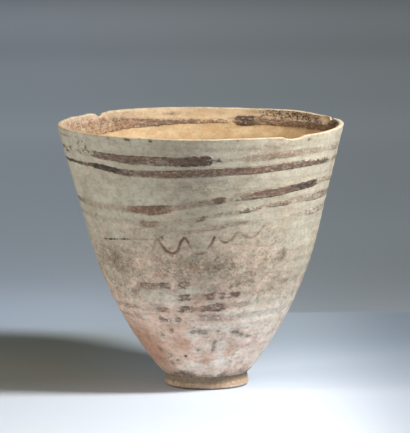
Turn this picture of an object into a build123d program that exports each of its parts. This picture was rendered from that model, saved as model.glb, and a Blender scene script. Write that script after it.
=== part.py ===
from build123d import *

import os
from dataclasses import dataclass
from math import atan2, cos, pi, radians, sin, tan

# A deep drinking cup of fired clay. A rounded bowl and a straight flaring wall are thrown apart, luted
# together on a scarfed join and set, leaning a little, on a disc foot. Bands and one wavy line are brushed
# on the outside, and one band inside the mouth. Some are worn down to a stretch at the front.
# Millimetres and degrees. +Z is up, the foot stands on Z = 0 around the origin, and the front is -Y.
# Bearings run around the cup from +X, counterclockwise from above, so the front is at -90.

# Wall and bowl
RIM_DIAMETER = 180.0  # outer face of the wall, at the crown of the lip
CUP_HEIGHT = 166.0  # from the table to the crown of the lip, up the axis
WALL_FLARE = 14.7  # slope of the straight upper wall away from its axis
SHOULDER_SHARE = 0.578  # of the height, up to where the rounded bowl turns into the straight wall
BOWL_PULLS = 3  # straight pulls that round the bowl from the shoulder to its seat
LIP_THICKNESS = 2.8
LIP_BEVEL = 0.9
WALL_THICKNESS = 5.0  # at the shoulder and below it
FLOOR_THICKNESS = 7.0
FLOOR_DIAMETER = 36.0  # flat of the floor inside
SEAT_DIAMETER = 54.0  # flat underside of the bowl, where the foot is luted on
BODY_LEAN = 1.1  # of everything above the foot, towards -X

# Join between the bowl and the upper wall
JOIN_ABOVE_SHOULDER = 3.5  # its edge outside
JOIN_RISE = 4.0  # how far it climbs from the outside to the inside

# Foot
FOOT_DIAMETER = 52.6  # on the table, before its edge is bevelled
FOOT_TOP_DIAMETER = 51.4
FOOT_HEIGHT = 8.0
FOOT_BEVEL = 1.2

# Paint
PAINT_SEAT = 0.1  # hair of clearance between the clay and the paint
PAINT_THICKNESS = 0.3
MOUTH_BAND_DROP = 4.0  # from the crown of the lip, inside
MOUTH_BAND_WIDTH = 6.5

# Wavy line
WAVE_GAP = 2.6  # of bare wall between the middle bands and the crests
WAVES_AROUND = 22  # as drawn, all around
WAVES_LEFT = 5  # as they survive at the front
WAVE_START = -134.0  # bearing of the first crest that survives
WAVE_RISE = 10.0  # from trough to crest, at the middle of the stroke
WAVE_STROKE = 1.9
WAVE_TILT = 5.6  # the whole line climbs towards +X

# Spare length on blanks and cutters, all of it trimmed away
TRIM = 6.0


@dataclass
class Band:
    """One brushed band, whole or worn down to a stretch between two bearings less than 180 apart."""

    name: str
    width: float
    stretch: tuple[float, float] | None = None


@dataclass
class BandGroup:
    """Bands stacked downwards from a share of the cup's height, all on one slant."""

    top_share: float  # of the height, up to the first band's upper edge
    gap: float  # of bare wall between two bands
    tilt: float  # climb towards +X
    bands: tuple[Band, ...]

    @property
    def top(self):
        return CUP_HEIGHT * self.top_share - FOOT_HEIGHT

    @property
    def depth(self):
        return sum(band.width for band in self.bands) + self.gap * (len(self.bands) - 1)


COLLAR_BANDS = BandGroup(
    top_share=0.936,
    gap=3.3,
    tilt=0.0,
    bands=(Band("collar_band_upper", 5.6), Band("collar_band_lower", 4.8)),
)
MIDDLE_BANDS = BandGroup(
    top_share=0.777,
    gap=4.4,
    tilt=4.6,
    bands=(
        Band("middle_band_upper", 5.0),
        Band("middle_band_centre", 4.2),
        Band("middle_band_lower", 3.4, stretch=(-95.0, 0.0)),
    ),
)
LOWER_BANDS = BandGroup(
    top_share=0.448,
    gap=3.4,
    tilt=2.6,
    bands=(
        Band("lower_band_1", 4.0, stretch=(-130.0, -96.0)),
        Band("lower_band_2", 4.0, stretch=(-108.0, -66.0)),
        Band("lower_band_3", 4.0, stretch=(-152.0, -76.0)),
        Band("lower_band_4", 4.0, stretch=(-153.0, -77.0)),
    ),
)


@dataclass
class Chip:
    """Shallow round bite out of the lip."""

    bearing: float
    width: float
    depth: float

    @property
    def radius(self):
        return (self.width**2 / 4 + self.depth**2) / (2 * self.depth)


CHIPS = (
    Chip(bearing=-51.0, width=22.0, depth=1.8),
    Chip(bearing=8.0, width=6.0, depth=1.8),
    Chip(bearing=136.0, width=6.0, depth=1.8),
)

# Frame of the leaning body: it stands on the foot, and levels in it are heights above the foot
BODY = Plane.XY.offset(FOOT_HEIGHT).rotated((0, -BODY_LEAN, 0))
BODY_AXIS = Axis(BODY.origin, BODY.z_dir)
SECTION = Plane(BODY.origin, x_dir=BODY.x_dir, z_dir=-BODY.y_dir)

# Outer face in section: the straight flare is tangent at the shoulder to an arc that ends at the seat,
# and the pulls of the bowl are equal chords of that arc
flare = radians(WALL_FLARE)
up_flare = Vector(sin(flare), cos(flare))
out_of_flare = Vector(cos(flare), -sin(flare))
crown_level = CUP_HEIGHT - FOOT_HEIGHT
shoulder_level = CUP_HEIGHT * SHOULDER_SHARE - FOOT_HEIGHT
join_level = shoulder_level + JOIN_ABOVE_SHOULDER
shoulder = Vector(RIM_DIAMETER / 2 - (crown_level - shoulder_level) * tan(flare), shoulder_level)
seat_edge = Vector(SEAT_DIAMETER / 2, 0)
belly_chord = shoulder - seat_edge
belly_radius = belly_chord.length**2 / (2 * belly_chord.dot(out_of_flare))
belly_centre = shoulder - out_of_flare * belly_radius
seat_spoke = seat_edge - belly_centre
pull_turn = (-flare - atan2(seat_spoke.Y, seat_spoke.X)) / BOWL_PULLS


def on_wall(level, standoff=0.0):
    """Section point over the straight outer face at a level, moved out of the clay by a standoff."""
    face = shoulder + up_flare * ((level - shoulder_level) / cos(flare))
    return face + out_of_flare * standoff


def in_cup(level, cover=0.0):
    """Section point on the inner face of the straight wall, moved into the cup by a cover."""
    share = (level - shoulder_level) / (crown_level - shoulder_level)
    thickness = WALL_THICKNESS + (LIP_THICKNESS - WALL_THICKNESS) * share
    return on_wall(level, -thickness - cover)


def pull_ends(count, standoff=0.0):
    """Section points where the pulls meet, from the shoulder down, moved out of the clay by a standoff."""
    reach = belly_radius + standoff
    turns = [-flare - pull_turn * pull for pull in range(count + 1)]
    return [belly_centre + Vector(cos(turn), sin(turn)) * reach for turn in turns]


def spoke(bearing):
    """Direction out of the leaning axis at a bearing."""
    return BODY.x_dir * cos(radians(bearing)) + BODY.y_dir * sin(radians(bearing))


def painted_band(film, level, tilt, band):
    """Band cut from the paint film by two parallel slanting planes, and by two more where it is worn."""
    middle = BODY.offset(level).rotated((0, -tilt, 0))
    with BuildPart() as stroke:
        add(film)
        split(bisect_by=middle.offset(band.width / 2), keep=Keep.BOTTOM)
        split(bisect_by=middle.offset(-band.width / 2), keep=Keep.TOP)
        if band.stretch:
            for bearing, kept in zip(band.stretch, (Keep.TOP, Keep.BOTTOM)):
                split(bisect_by=Plane(BODY.origin, z_dir=spoke(bearing + 90)), keep=kept)
    return stroke.part


# Foot: a disc that spreads a little to the table, trimmed on top to the slant of the body
with BuildPart() as foot_disc:
    with BuildSketch(Plane.XZ):
        with BuildLine():
            Polyline(
                (0, 0),
                (FOOT_DIAMETER / 2, 0),
                (FOOT_TOP_DIAMETER / 2, FOOT_HEIGHT),
                (FOOT_TOP_DIAMETER / 2, FOOT_HEIGHT + TRIM),
                (0, FOOT_HEIGHT + TRIM),
                close=True,
            )
        make_face()
    revolve(axis=Axis.Z)
    split(bisect_by=BODY, keep=Keep.BOTTOM)
    table_edge = foot_disc.edges().filter_by(GeomType.CIRCLE).sort_by(Axis.Z)[0]
    chamfer(table_edge, length=FOOT_BEVEL)

# Bowl: its pulls and its floor, with the lower face of the join at its top
with BuildPart() as lower_bowl:
    with BuildSketch(SECTION):
        with BuildLine():
            Polyline(
                on_wall(join_level),
                *pull_ends(BOWL_PULLS),
                (0, 0),
                (0, FLOOR_THICKNESS),
                (FLOOR_DIAMETER / 2, FLOOR_THICKNESS),
                *reversed(pull_ends(BOWL_PULLS - 1, -WALL_THICKNESS)),
                in_cup(join_level + JOIN_RISE),
                close=True,
            )
        make_face()
    revolve(axis=BODY_AXIS)

# Upper wall: thinning to a bevelled and chipped lip, with the upper face of the join at its foot
with BuildPart() as upper_wall:
    with BuildSketch(SECTION):
        with BuildLine():
            Polyline(
                on_wall(crown_level),
                in_cup(crown_level),
                in_cup(join_level + JOIN_RISE),
                on_wall(join_level),
                close=True,
            )
        make_face()
        chamfer(vertices().sort_by(Axis.Y)[-2:], length=LIP_BEVEL)
    revolve(axis=BODY_AXIS)
    for chip in CHIPS:
        lip_middle = BODY.origin + spoke(chip.bearing) * (RIM_DIAMETER / 2 - LIP_THICKNESS / 2)
        bite_centre = lip_middle + BODY.z_dir * (crown_level + chip.radius - chip.depth)
        with BuildSketch(Plane(bite_centre, x_dir=BODY.z_dir, z_dir=spoke(chip.bearing))):
            Circle(chip.radius)
        extrude(amount=LIP_THICKNESS + TRIM, both=True, mode=Mode.SUBTRACT)

# Paint inside the mouth
with BuildPart() as mouth_band:
    band_top = crown_level - MOUTH_BAND_DROP
    band_foot = band_top - MOUTH_BAND_WIDTH
    with BuildSketch(SECTION):
        with BuildLine():
            Polyline(
                in_cup(band_top, PAINT_SEAT),
                in_cup(band_foot, PAINT_SEAT),
                in_cup(band_foot, PAINT_SEAT + PAINT_THICKNESS),
                in_cup(band_top, PAINT_SEAT + PAINT_THICKNESS),
                close=True,
            )
        make_face()
    revolve(axis=BODY_AXIS)

# Paint outside: one film over the wall and all but the last pull, from which the bands are cut
with BuildPart() as paint_film:
    paint_face = PAINT_SEAT + PAINT_THICKNESS
    with BuildSketch(SECTION):
        with BuildLine():
            Polyline(
                on_wall(crown_level, PAINT_SEAT),
                *pull_ends(BOWL_PULLS - 1, PAINT_SEAT),
                *reversed(pull_ends(BOWL_PULLS - 1, paint_face)),
                on_wall(crown_level, paint_face),
                close=True,
            )
        make_face()
    revolve(axis=BODY_AXIS)
bands = {}
for group in (COLLAR_BANDS, MIDDLE_BANDS, LOWER_BANDS):
    upper_edge = group.top
    for band in group.bands:
        bands[band.name] = painted_band(paint_film.part, upper_edge - band.width / 2, group.tilt, band)
        upper_edge -= band.width + group.gap

# One wave of the line, drawn on a flat facing the axis from crest to crest through a trough
wave_level = MIDDLE_BANDS.top - MIDDLE_BANDS.depth - WAVE_GAP - (WAVE_RISE + WAVE_STROKE) / 2
wave_radius = on_wall(wave_level).X
half_turn = pi / WAVES_AROUND
half_wave = wave_radius * tan(half_turn)
with BuildPart() as one_wave:
    with BuildSketch(Plane((wave_radius, 0, 0), x_dir=(0, 1, 0), z_dir=(1, 0, 0))):
        with BuildLine():
            for side in (WAVE_STROKE / 2, -WAVE_STROKE / 2):
                crest = (half_wave / 2 + side, WAVE_RISE / 2 + side)
                trough = (half_wave / 2 - side, WAVE_RISE / 2 - side)
                EllipticalCenterArc((-half_wave, 0), *crest, start_angle=0, arc_size=90)
                EllipticalCenterArc((0, 0), *trough, start_angle=180, arc_size=180)
                EllipticalCenterArc((half_wave, 0), *crest, start_angle=90, arc_size=90)
                Line((-half_wave, crest[1]), (-half_wave - TRIM, crest[1]))
                Line((half_wave, crest[1]), (half_wave + TRIM, crest[1]))
            for end in (-half_wave - TRIM, half_wave + TRIM):
                Line((end, WAVE_RISE / 2 - WAVE_STROKE / 2), (end, WAVE_RISE / 2 + WAVE_STROKE / 2))
        make_face()
    extrude(amount=TRIM, both=True)
    for turn, kept in ((-half_turn, Keep.TOP), (half_turn, Keep.BOTTOM)):
        split(bisect_by=Plane((0, 0, 0), z_dir=(-sin(turn), cos(turn), 0)), keep=kept)

# Wavy line: the waves that survive, set around the body on their slant
wave_pitch = 360 / WAVES_AROUND
with BuildPart(BODY.offset(wave_level).rotated((0, -WAVE_TILT, 0))) as wave_cutter:
    with PolarLocations(0, WAVES_LEFT, WAVE_START + wave_pitch / 2, WAVES_LEFT * wave_pitch):
        add(one_wave.part)
with BuildPart() as wavy_line:
    add(paint_film.part)
    add(wave_cutter.part, mode=Mode.INTERSECT)

pieces = {
    "foot_disc": foot_disc.part,
    "lower_bowl": lower_bowl.part,
    "upper_wall": upper_wall.part,
    "mouth_band": mouth_band.part,
    "wavy_line": wavy_line.part,
    **bands,
}

os.makedirs("parts", exist_ok=True)
for name, piece in pieces.items():
    piece.label = name
    export_step(piece, f"parts/{name}.step")
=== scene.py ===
"""Looks of a painted clay drinking cup on a disc foot.

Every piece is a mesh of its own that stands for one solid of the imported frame. Sizes are in millimetres
until a mesh is made, and in metres after that. A level is a height above the top of the foot, along the
leaning axis of the body. Bearings run around the cup from +X, counterclockwise from above, so the front
is at -90.
"""

import logging
import math
from dataclasses import dataclass
from enum import Enum

import bmesh
import bpy
import numpy as np
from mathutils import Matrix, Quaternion, Vector


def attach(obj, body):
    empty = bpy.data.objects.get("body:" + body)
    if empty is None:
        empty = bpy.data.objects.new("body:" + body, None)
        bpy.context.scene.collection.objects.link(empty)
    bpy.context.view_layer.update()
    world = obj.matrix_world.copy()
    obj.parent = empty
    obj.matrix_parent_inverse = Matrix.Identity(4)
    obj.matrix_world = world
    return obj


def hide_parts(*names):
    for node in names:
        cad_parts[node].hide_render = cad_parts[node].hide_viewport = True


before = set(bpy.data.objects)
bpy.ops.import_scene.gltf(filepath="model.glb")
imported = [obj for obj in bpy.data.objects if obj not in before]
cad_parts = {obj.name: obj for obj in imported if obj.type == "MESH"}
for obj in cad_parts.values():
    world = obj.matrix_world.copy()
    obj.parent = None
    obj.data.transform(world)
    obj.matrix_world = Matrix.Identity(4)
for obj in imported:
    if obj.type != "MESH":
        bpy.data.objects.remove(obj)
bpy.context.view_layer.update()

Array = np.ndarray
Colour = tuple[float, float, float]
Point = tuple[float, float, float]
Span = tuple[float, float]
Knots = tuple[Span, ...]
Socket = bpy.types.NodeSocket
Number = Socket | float
Tint = Socket | Colour

LOG = logging.getLogger("drinking_cup")
MM = 0.001
WHITE = (1.0, 1.0, 1.0)


class Slot(Enum):
    """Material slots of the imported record."""

    FOOT = "foot_clay"
    WALL = "slipped_clay"
    PAINT = "paint"


class Layer(Enum):
    """What a mesh says about its surface, point by point, for the finishes to read."""

    PAINT = "paint_left"
    TONE = "paint_tone"
    # Wear to the clay, and on the foot a painted highlight towards the key light
    WEAR_AND_HIGHLIGHT = "worn_to_clay"
    # Grey crust, stains and dirt, with painted shade in a few places
    GRIME_AND_SHADE = "grey_crust"
    INSIDE = "inside"
    # Painted shade in the pits, in the open join and along the foot at the table
    HOLLOW_SHADE = "pits_and_cracks"


class DabPart(Enum):
    """What a dab says about its band, by the name of its field."""

    STRENGTH = "strength"
    TONE = "tone"
    WIDTH = "width"


class Operation(Enum):
    """What a node does with two numbers."""

    ADD = "ADD"
    SUBTRACT = "SUBTRACT"
    MULTIPLY = "MULTIPLY"
    DIVIDE = "DIVIDE"
    MINIMUM = "MINIMUM"
    MAXIMUM = "MAXIMUM"
    LESS_THAN = "LESS_THAN"


class MixMode(Enum):
    """How a node lays one colour over another."""

    COVER = "MIX"
    MULTIPLY = "MULTIPLY"


def srgb(red: int, green: int, blue: int) -> Colour:
    """Turn a colour as a photograph shows it into the linear light that a shader takes.

    Args:
        red: Red from 0 to 255.
        green: Green from 0 to 255.
        blue: Blue from 0 to 255.

    Returns:
        The three linear parts, from 0 to 1.
    """
    parts = (channel / 255 for channel in (red, green, blue))
    return tuple(part / 12.92 if part <= 0.04045 else ((part + 0.055) / 1.055) ** 2.4 for part in parts)


def ease(value: Array, low: float, high: float) -> Array:
    """Smooth rise from 0 to 1 as a value goes from low to high."""
    share = np.clip((value - low) / (high - low), 0.0, 1.0)
    return share * share * (3.0 - 2.0 * share)


def apart(bearing: Array, other: float) -> Array:
    """Signed angle in degrees from one bearing to others, the short way round."""
    return (bearing - other + 180.0) % 360.0 - 180.0


def bell(distance: Array, reach: float) -> Array:
    """Rounded hump, 1 at no distance and falling off over a reach."""
    return np.exp(-((distance / reach) ** 2))


def full_turn(columns: int) -> Array:
    """Bearings all the way around the cup, as one row."""
    return np.linspace(-180.0, 180.0, columns, endpoint=False)[None, :]


def between(start: Array, end: Array, rows: int) -> Array:
    """A number of rows spaced evenly between two others, without those two."""
    share = np.linspace(0.0, 1.0, rows + 2)[1:-1, None]
    return start + (end - start) * share


def along(level: Array, knots: Knots) -> Array:
    """Value at each level, between knots that pair a level with a value."""
    levels, values = zip(*knots)
    return np.interp(level, levels, values)


def drum(bearing: Array, level: Array | float, radius: float = 60.0) -> Array:
    """Points on an upright drum, as (..., 3), where noise is read without a seam."""
    turn, height = np.broadcast_arrays(np.radians(bearing), level)
    return np.stack((radius * np.cos(turn), radius * np.sin(turn), height), axis=-1)


class Grain:
    """Seeded smooth noise in space, from -1 to 1."""

    CELLS = 32

    def __init__(self, seed: int) -> None:
        """Fill the lattice from a seed."""
        self.lattice = np.random.default_rng(seed).uniform(-1.0, 1.0, (self.CELLS,) * 3)

    def at(self, points: Array, octaves: int = 3) -> Array:
        """Add up finer and finer layers of noise.

        Args:
            points: Points as (..., 3), divided by the size of the coarsest grain.
            octaves: Number of layers.

        Returns:
            Noise at each point.
        """
        total = np.zeros(points.shape[:-1])
        reach = 0.0
        for octave in range(octaves):
            weight = 0.5**octave
            total += weight * self.layer(points * 2**octave + 7.3 * octave)
            reach += weight
        return total / reach

    def layer(self, points: Array) -> Array:
        """Blend the lattice between its corners.

        Args:
            points: Points as (..., 3), one lattice cell to a unit.

        Returns:
            Noise at each point.
        """
        cell = np.floor(points).astype(int)
        share = points - cell
        share = share * share * (3.0 - 2.0 * share)
        total = np.zeros(points.shape[:-1])
        for corner in np.ndindex(2, 2, 2):
            weight = np.prod(np.where(np.array(corner), share, 1.0 - share), axis=-1)
            index = (cell + np.array(corner)) % self.CELLS
            total += weight * self.lattice[index[..., 0], index[..., 1], index[..., 2]]
        return total


@dataclass(frozen=True)
class RingCurve:
    """Value that changes around the cup, set at a few bearings."""

    knots: Knots
    softness: float = 0.0  # degrees over which the corners at the knots are rounded

    def at(self, bearing: Array) -> Array:
        """Read the curve.

        Args:
            bearing: Bearings in degrees.

        Returns:
            The value at each bearing.
        """
        turns = np.arange(0.0, 360.0, 0.5)
        places, values = zip(*self.knots)
        table = np.interp(turns, places, values, period=360.0)
        if self.softness:
            spread = bell(apart(turns, 0.0), self.softness)
            table = np.real(np.fft.ifft(np.fft.fft(table) * np.fft.fft(spread / spread.sum())))
        return np.interp(bearing, turns, table, period=360.0)


@dataclass(frozen=True)
class Mark:
    """Soft patch on the wall, centred at a bearing and a level."""

    bearing: float
    level: float
    half_turn: float  # degrees
    half_height: float
    amount: float

    def at(self, bearing: Array, level: Array) -> Array:
        """Read the patch, which fades out from its middle.

        Args:
            bearing: Bearings of the points.
            level: Levels of the points.

        Returns:
            The amount at each point.
        """
        across = apart(bearing, self.bearing) / self.half_turn
        up = (level - self.level) / self.half_height
        return self.amount * np.exp(-(across**2) - up**2)


def added(marks: tuple[Mark, ...], bearing: Array, level: Array) -> Array:
    """Sum of a number of patches at each point, given by its bearing and level."""
    return sum(mark.at(bearing, level) for mark in marks)


@dataclass(frozen=True)
class Sector:
    """Part of the way around the cup that differs from the rest, fading out to both sides."""

    bearing: float
    half_turn: float  # degrees

    def at(self, bearing: Array) -> Array:
        """Share of the difference at each bearing, from 0 to 1."""
        return bell(apart(bearing, self.bearing), self.half_turn)


@dataclass(frozen=True)
class Ridge:
    """Ring left by the potter's fingers, proud or sunk."""

    level: float
    half_height: float
    rise: float


@dataclass(frozen=True)
class Bite:
    """Piece broken out of the lip."""

    bearing: float
    half_turn: float  # degrees
    depth: float

    def at(self, bearing: Array) -> Array:
        """Depth of the bite at each bearing."""
        share = np.clip(np.abs(apart(bearing, self.bearing)) / self.half_turn, 0.0, 1.0)
        return self.depth * (1.0 - share**2)


@dataclass(frozen=True)
class BodyShape:
    """Turned body of the cup, in the frame of its leaning axis."""

    rim_radius: float = 90.0
    crown: float = 158.0
    flare: float = math.radians(14.7)
    shoulder: float = 87.95
    seat_radius: float = 27.0
    wall: float = 5.0
    lip: float = 2.8
    lip_round: float = 0.75
    floor: float = 7.0
    floor_start: float = 29.5  # level where the inside turns in towards the floor
    join: float = 91.45
    join_rise: float = 4.0
    foot_height: float = 8.0
    lean: float = math.radians(1.1)
    out_of_round: float = 0.3
    lip_rough: float = 0.16
    scuffed_lip: Sector = Sector(152.0, 20.0)
    scuffed_rough: float = 0.3  # added to the roughness of the lip where it is scuffed
    turning_pitch: float = 6.8  # of the fine rings outside
    turning_depth: float = 0.07
    finger_pitch: float = 8.5  # of the spiral inside
    finger_depth: float = 0.2
    press_size: float = 30.0  # of the uneven places between the marks of the fingers
    press_depth: float = 0.22
    dent_size: float = 38.0  # of the uneven places outside
    dent_depth: float = 0.28
    scrape_size: float = 6.0
    scrape_depth: float = 0.06
    ridge_slant: float = 1.4  # how far the finger rings climb to the right
    join_rough: float = 0.25
    crack_half: float = 0.45  # half the height of the open join
    crack_depth: float = 0.8
    pit_depth: float = 0.7
    ridges: tuple[Ridge, ...] = (
        Ridge(132, 2.5, -0.10), Ridge(121, 3, 0.12), Ridge(98, 2.5, -0.14), Ridge(68, 2.2, 0.16),
        Ridge(52.5, 1.8, 0.34), Ridge(48.6, 1.6, -0.3), Ridge(44.3, 1.5, 0.46), Ridge(40.8, 1.4, -0.32),
        Ridge(37.4, 1.6, 0.26), Ridge(28, 2.2, 0.12), Ridge(18, 2, 0.1),
    )
    bites: tuple[Bite, ...] = (
        Bite(-51, 6.5, 1.6), Bite(17.6, 3, 1.5), Bite(136.4, 2.4, 1.8), Bite(135.6, 5.5, 0.9),
    )
    sunk_lip: RingCurve = RingCurve(  # how far the lip has sunk
        ((-170, 0), (-140, 0), (-115, -0.2), (-90, 0), (-74, -0.3), (-63, 0), (-54, 0.7), (-44, 0.6),
         (-36, 0.5), (-10, 0), (9, -0.5), (20, 0.3), (28, 0.1), (45, -0.9), (62, -0.1), (75, 0), (90, -0.3),
         (120, -0.6), (140, -0.1)),
        softness=8.0,
    )
    spall: Mark = Mark(22.5, 157, 5, 3.8, 2)  # flake lost from the inner edge of the lip
    wander: RingCurve = RingCurve(  # how far the join strays from its level
        ((-180, -0.3), (-161, -0.3), (-147, -0.2), (-134, 1.3), (-118, 2.6), (-95, 0.6), (-70, 0), (40, 0.6),
         (110, -0.4)),
        softness=4.0,
    )
    opened: RingCurve = RingCurve(  # how far the join has opened
        ((-180, 0.12), (-151, 0.15), (-148, 1.3), (-134, 1), (-131, 0.4), (-119, 0.25), (-108, 0), (60, 0),
         (80, 0.15), (120, 0.1)),
        softness=1.0,
    )
    pits: tuple[Mark, ...] = (
        Mark(-111, 15.6, 1.7, 0.85, 1.2), Mark(-43, 152.8, 1, 0.9, 0.8), Mark(-120.5, 118.6, 0.7, 0.4, 0.7),
        Mark(-99.5, 35.6, 0.7, 0.4, 0.7),
    )
    grain: Grain = Grain(11)

    def belly(self) -> Array:
        """Work out the arc of the belly, which runs tangent into the straight wall.

        Returns:
            Its radius, and its centre in section as a radius and a level.
        """
        shoulder_radius = self.rim_radius - (self.crown - self.shoulder) * math.tan(self.flare)
        across = shoulder_radius - self.seat_radius
        outward = across * math.cos(self.flare) - self.shoulder * math.sin(self.flare)
        reach = (across**2 + self.shoulder**2) / (2.0 * outward)
        middle = shoulder_radius - reach * math.cos(self.flare)
        return np.array((reach, middle, self.shoulder + reach * math.sin(self.flare)))

    def plain_outer(self, level: Array) -> Array:
        """Radius of the outer face as turned, before any marks.

        Args:
            level: Levels up the axis.

        Returns:
            The radius at each level.
        """
        reach, middle, height = self.belly()
        straight = self.rim_radius - (self.crown - level) * math.tan(self.flare)
        arc = middle + np.sqrt(np.maximum(reach**2 - (height - level) ** 2, 0.0))
        return np.where(level > self.shoulder, straight, arc)

    def plain_inner(self, level: Array) -> Array:
        """Radius of the inner face as turned, above the turn to the floor.

        Args:
            level: Levels up the axis.

        Returns:
            The radius at each level.
        """
        reach, middle, height = self.belly()
        share = (level - self.shoulder) / (self.crown - self.shoulder)
        thickness = self.wall + (self.lip - self.wall) * share
        straight = self.plain_outer(level) - thickness / math.cos(self.flare)
        arc = middle + np.sqrt(np.maximum((reach - self.wall) ** 2 - (height - level) ** 2, 0.0))
        return np.where(level > self.shoulder, straight, arc)

    def lip_level(self, bearing: Array) -> Array:
        """Level of the crown of the lip, which was cut level, sank a little and was chipped.

        Args:
            bearing: Bearings around the lip.

        Returns:
            The crown's level at each bearing.
        """
        level = self.crown - self.rim_radius * np.cos(np.radians(bearing)) * math.tan(self.lean)
        rough = self.lip_rough + self.scuffed_rough * self.scuffed_lip.at(bearing)
        level = level + rough * self.grain.at(drum(bearing, 0.0, 14.0), 3)
        return level - self.sunk_lip.at(bearing) - sum(bite.at(bearing) for bite in self.bites)

    def join_level(self, bearing: Array) -> Array:
        """Level of the outer edge of the join between bowl and upper wall."""
        rough = self.join_rough * self.grain.at(drum(bearing, 3.0, 22.0), 3)
        return self.join + self.wander.at(bearing) + rough

    def crack(self, bearing: Array, level: Array) -> Array:
        """How far the join has opened.

        Args:
            bearing: Bearings of the points.
            level: Levels of the points.

        Returns:
            The share of a gaping crack at each point, from 0 to 1.
        """
        dashes = 0.6 + 0.9 * self.grain.at(drum(bearing, 0.0), 2)
        line = bell(level - self.join_level(bearing), self.crack_half)
        return np.clip(self.opened.at(bearing) * dashes * line, 0.0, 1.0)

    def relief(self, bearing: Array, level: Array) -> Array:
        """How far the outer face stands off its turned shape.

        Args:
            bearing: Bearings of the points.
            level: Levels of the points.

        Returns:
            The stand-off at each point.
        """
        turn = np.radians(bearing)
        slant = level - self.ridge_slant * np.cos(turn)
        rings = level / self.turning_pitch + bearing / 360.0
        height = self.turning_depth * np.sin(2.0 * math.pi * rings)
        pressed = 0.85 - 0.45 * np.cos(turn + 0.35)
        for ridge in self.ridges:
            height = height + pressed * ridge.rise * bell(slant - ridge.level, ridge.half_height)
        place = drum(bearing, level, 70.0)
        height = height + self.dent_depth * self.grain.at(place / self.dent_size, 2)
        height = height + self.scrape_depth * self.grain.at(place / self.scrape_size + 5.0, 2)
        height = height + self.out_of_round * np.cos(2.0 * turn + 0.8) * ease(level, 0.0, 60.0)
        holes = self.pit_depth * added(self.pits, bearing, level)
        return height - self.crack_depth * self.crack(bearing, level) - holes

    def outer(self, bearing: Array, level: Array) -> Array:
        """Radius of the outer face with its marks."""
        return self.plain_outer(level) + self.relief(bearing, level)

    def wheel_marks(self, bearing: Array, level: Array) -> Array:
        """How far the spiral of finger marks stands off the inner face.

        Args:
            bearing: Bearings of the points.
            level: Levels of the points.

        Returns:
            The stand-off at each point.
        """
        spiral = np.sin(2.0 * math.pi * (level / self.finger_pitch + bearing / 360.0))
        uneven = self.grain.at(drum(bearing, level) / self.press_size + 9.0, 2)
        return self.finger_depth * spiral + self.press_depth * uneven

    def inner(self, bearing: Array, level: Array) -> Array:
        """Radius of the inner face with its finger marks and its flake."""
        return self.plain_inner(level) + self.wheel_marks(bearing, level) + self.spall.at(bearing, level)

    def place(self, bearing: Array, level: Array, radius: Array) -> Array:
        """Set points of the leaning body in the shared frame.

        Args:
            bearing: Bearings of the points.
            level: Levels of the points.
            radius: Distances from the leaning axis.

        Returns:
            Points as (..., 3), in millimetres.
        """
        turn = np.radians(bearing)
        out = radius * np.cos(turn)
        x = out * math.cos(self.lean) - level * math.sin(self.lean)
        z = self.foot_height + out * math.sin(self.lean) + level * math.cos(self.lean)
        return np.stack((x, radius * np.sin(turn), z), axis=-1)


@dataclass(frozen=True)
class Dab:
    """State of a brushed band at one bearing."""

    bearing: float
    strength: float  # share of the paint that is left
    tone: float  # 0 is reddish brown, 1 is black brown
    width: float


@dataclass(frozen=True)
class BandStroke:
    """One band drawn around the cup with a loaded brush."""

    levels: Knots  # of the middle of the band
    dabs: tuple[Dab, ...]
    grain: Grain = Grain(23)
    reach: float = 8.0  # no paint lies further than this from the middle
    rough: float = 0.75  # how far the edges wander
    flake: Point = (9.0, 9.0, 2.6)  # size of the flakes along the edges
    drift: float = 0.35  # how far the whole band wanders
    drift_size: float = 16.0
    bend: float = 5.0  # degrees over which the band changes its slant
    blur: float = 0.8  # degrees over which one dab runs into the next
    fade: Span = (-0.65, 0.55)  # from bare wall to full paint, across an edge

    def middle(self, bearing: Array) -> Array:
        """Level of the middle of the band at each bearing."""
        return RingCurve(self.levels, self.bend).at(bearing)

    def curve(self, part: DabPart) -> RingCurve:
        """One part of the dabs as a curve around the cup."""
        return RingCurve(tuple((dab.bearing, getattr(dab, part.value)) for dab in self.dabs), self.blur)

    def cover(self, bearing: Array, level: Array) -> tuple[Array, Array]:
        """Read the band.

        Args:
            bearing: Bearings of the points.
            level: Levels of the points.

        Returns:
            How much paint is left at each point, and its tone.
        """
        off = level - self.middle(bearing)
        near = np.abs(off) < self.reach
        turn = bearing[near]
        place = drum(bearing, level, 80.0)[near]
        ragged = self.rough * self.grain.at(place / np.array(self.flake), 4)
        drift = self.drift * self.grain.at(place / self.drift_size, 1)
        half = self.curve(DabPart.WIDTH).at(turn) / 2.0
        edge = ease(half - np.abs(off[near] - drift) + ragged, *self.fade)
        amount = np.zeros(level.shape)
        amount[near] = self.curve(DabPart.STRENGTH).at(turn) * edge
        return amount, self.curve(DabPart.TONE).at(bearing)


@dataclass(frozen=True)
class Touch:
    """Point on the path of a drawn line."""

    bearing: float
    level: float
    strength: float
    tone: float = 0.2


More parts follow.
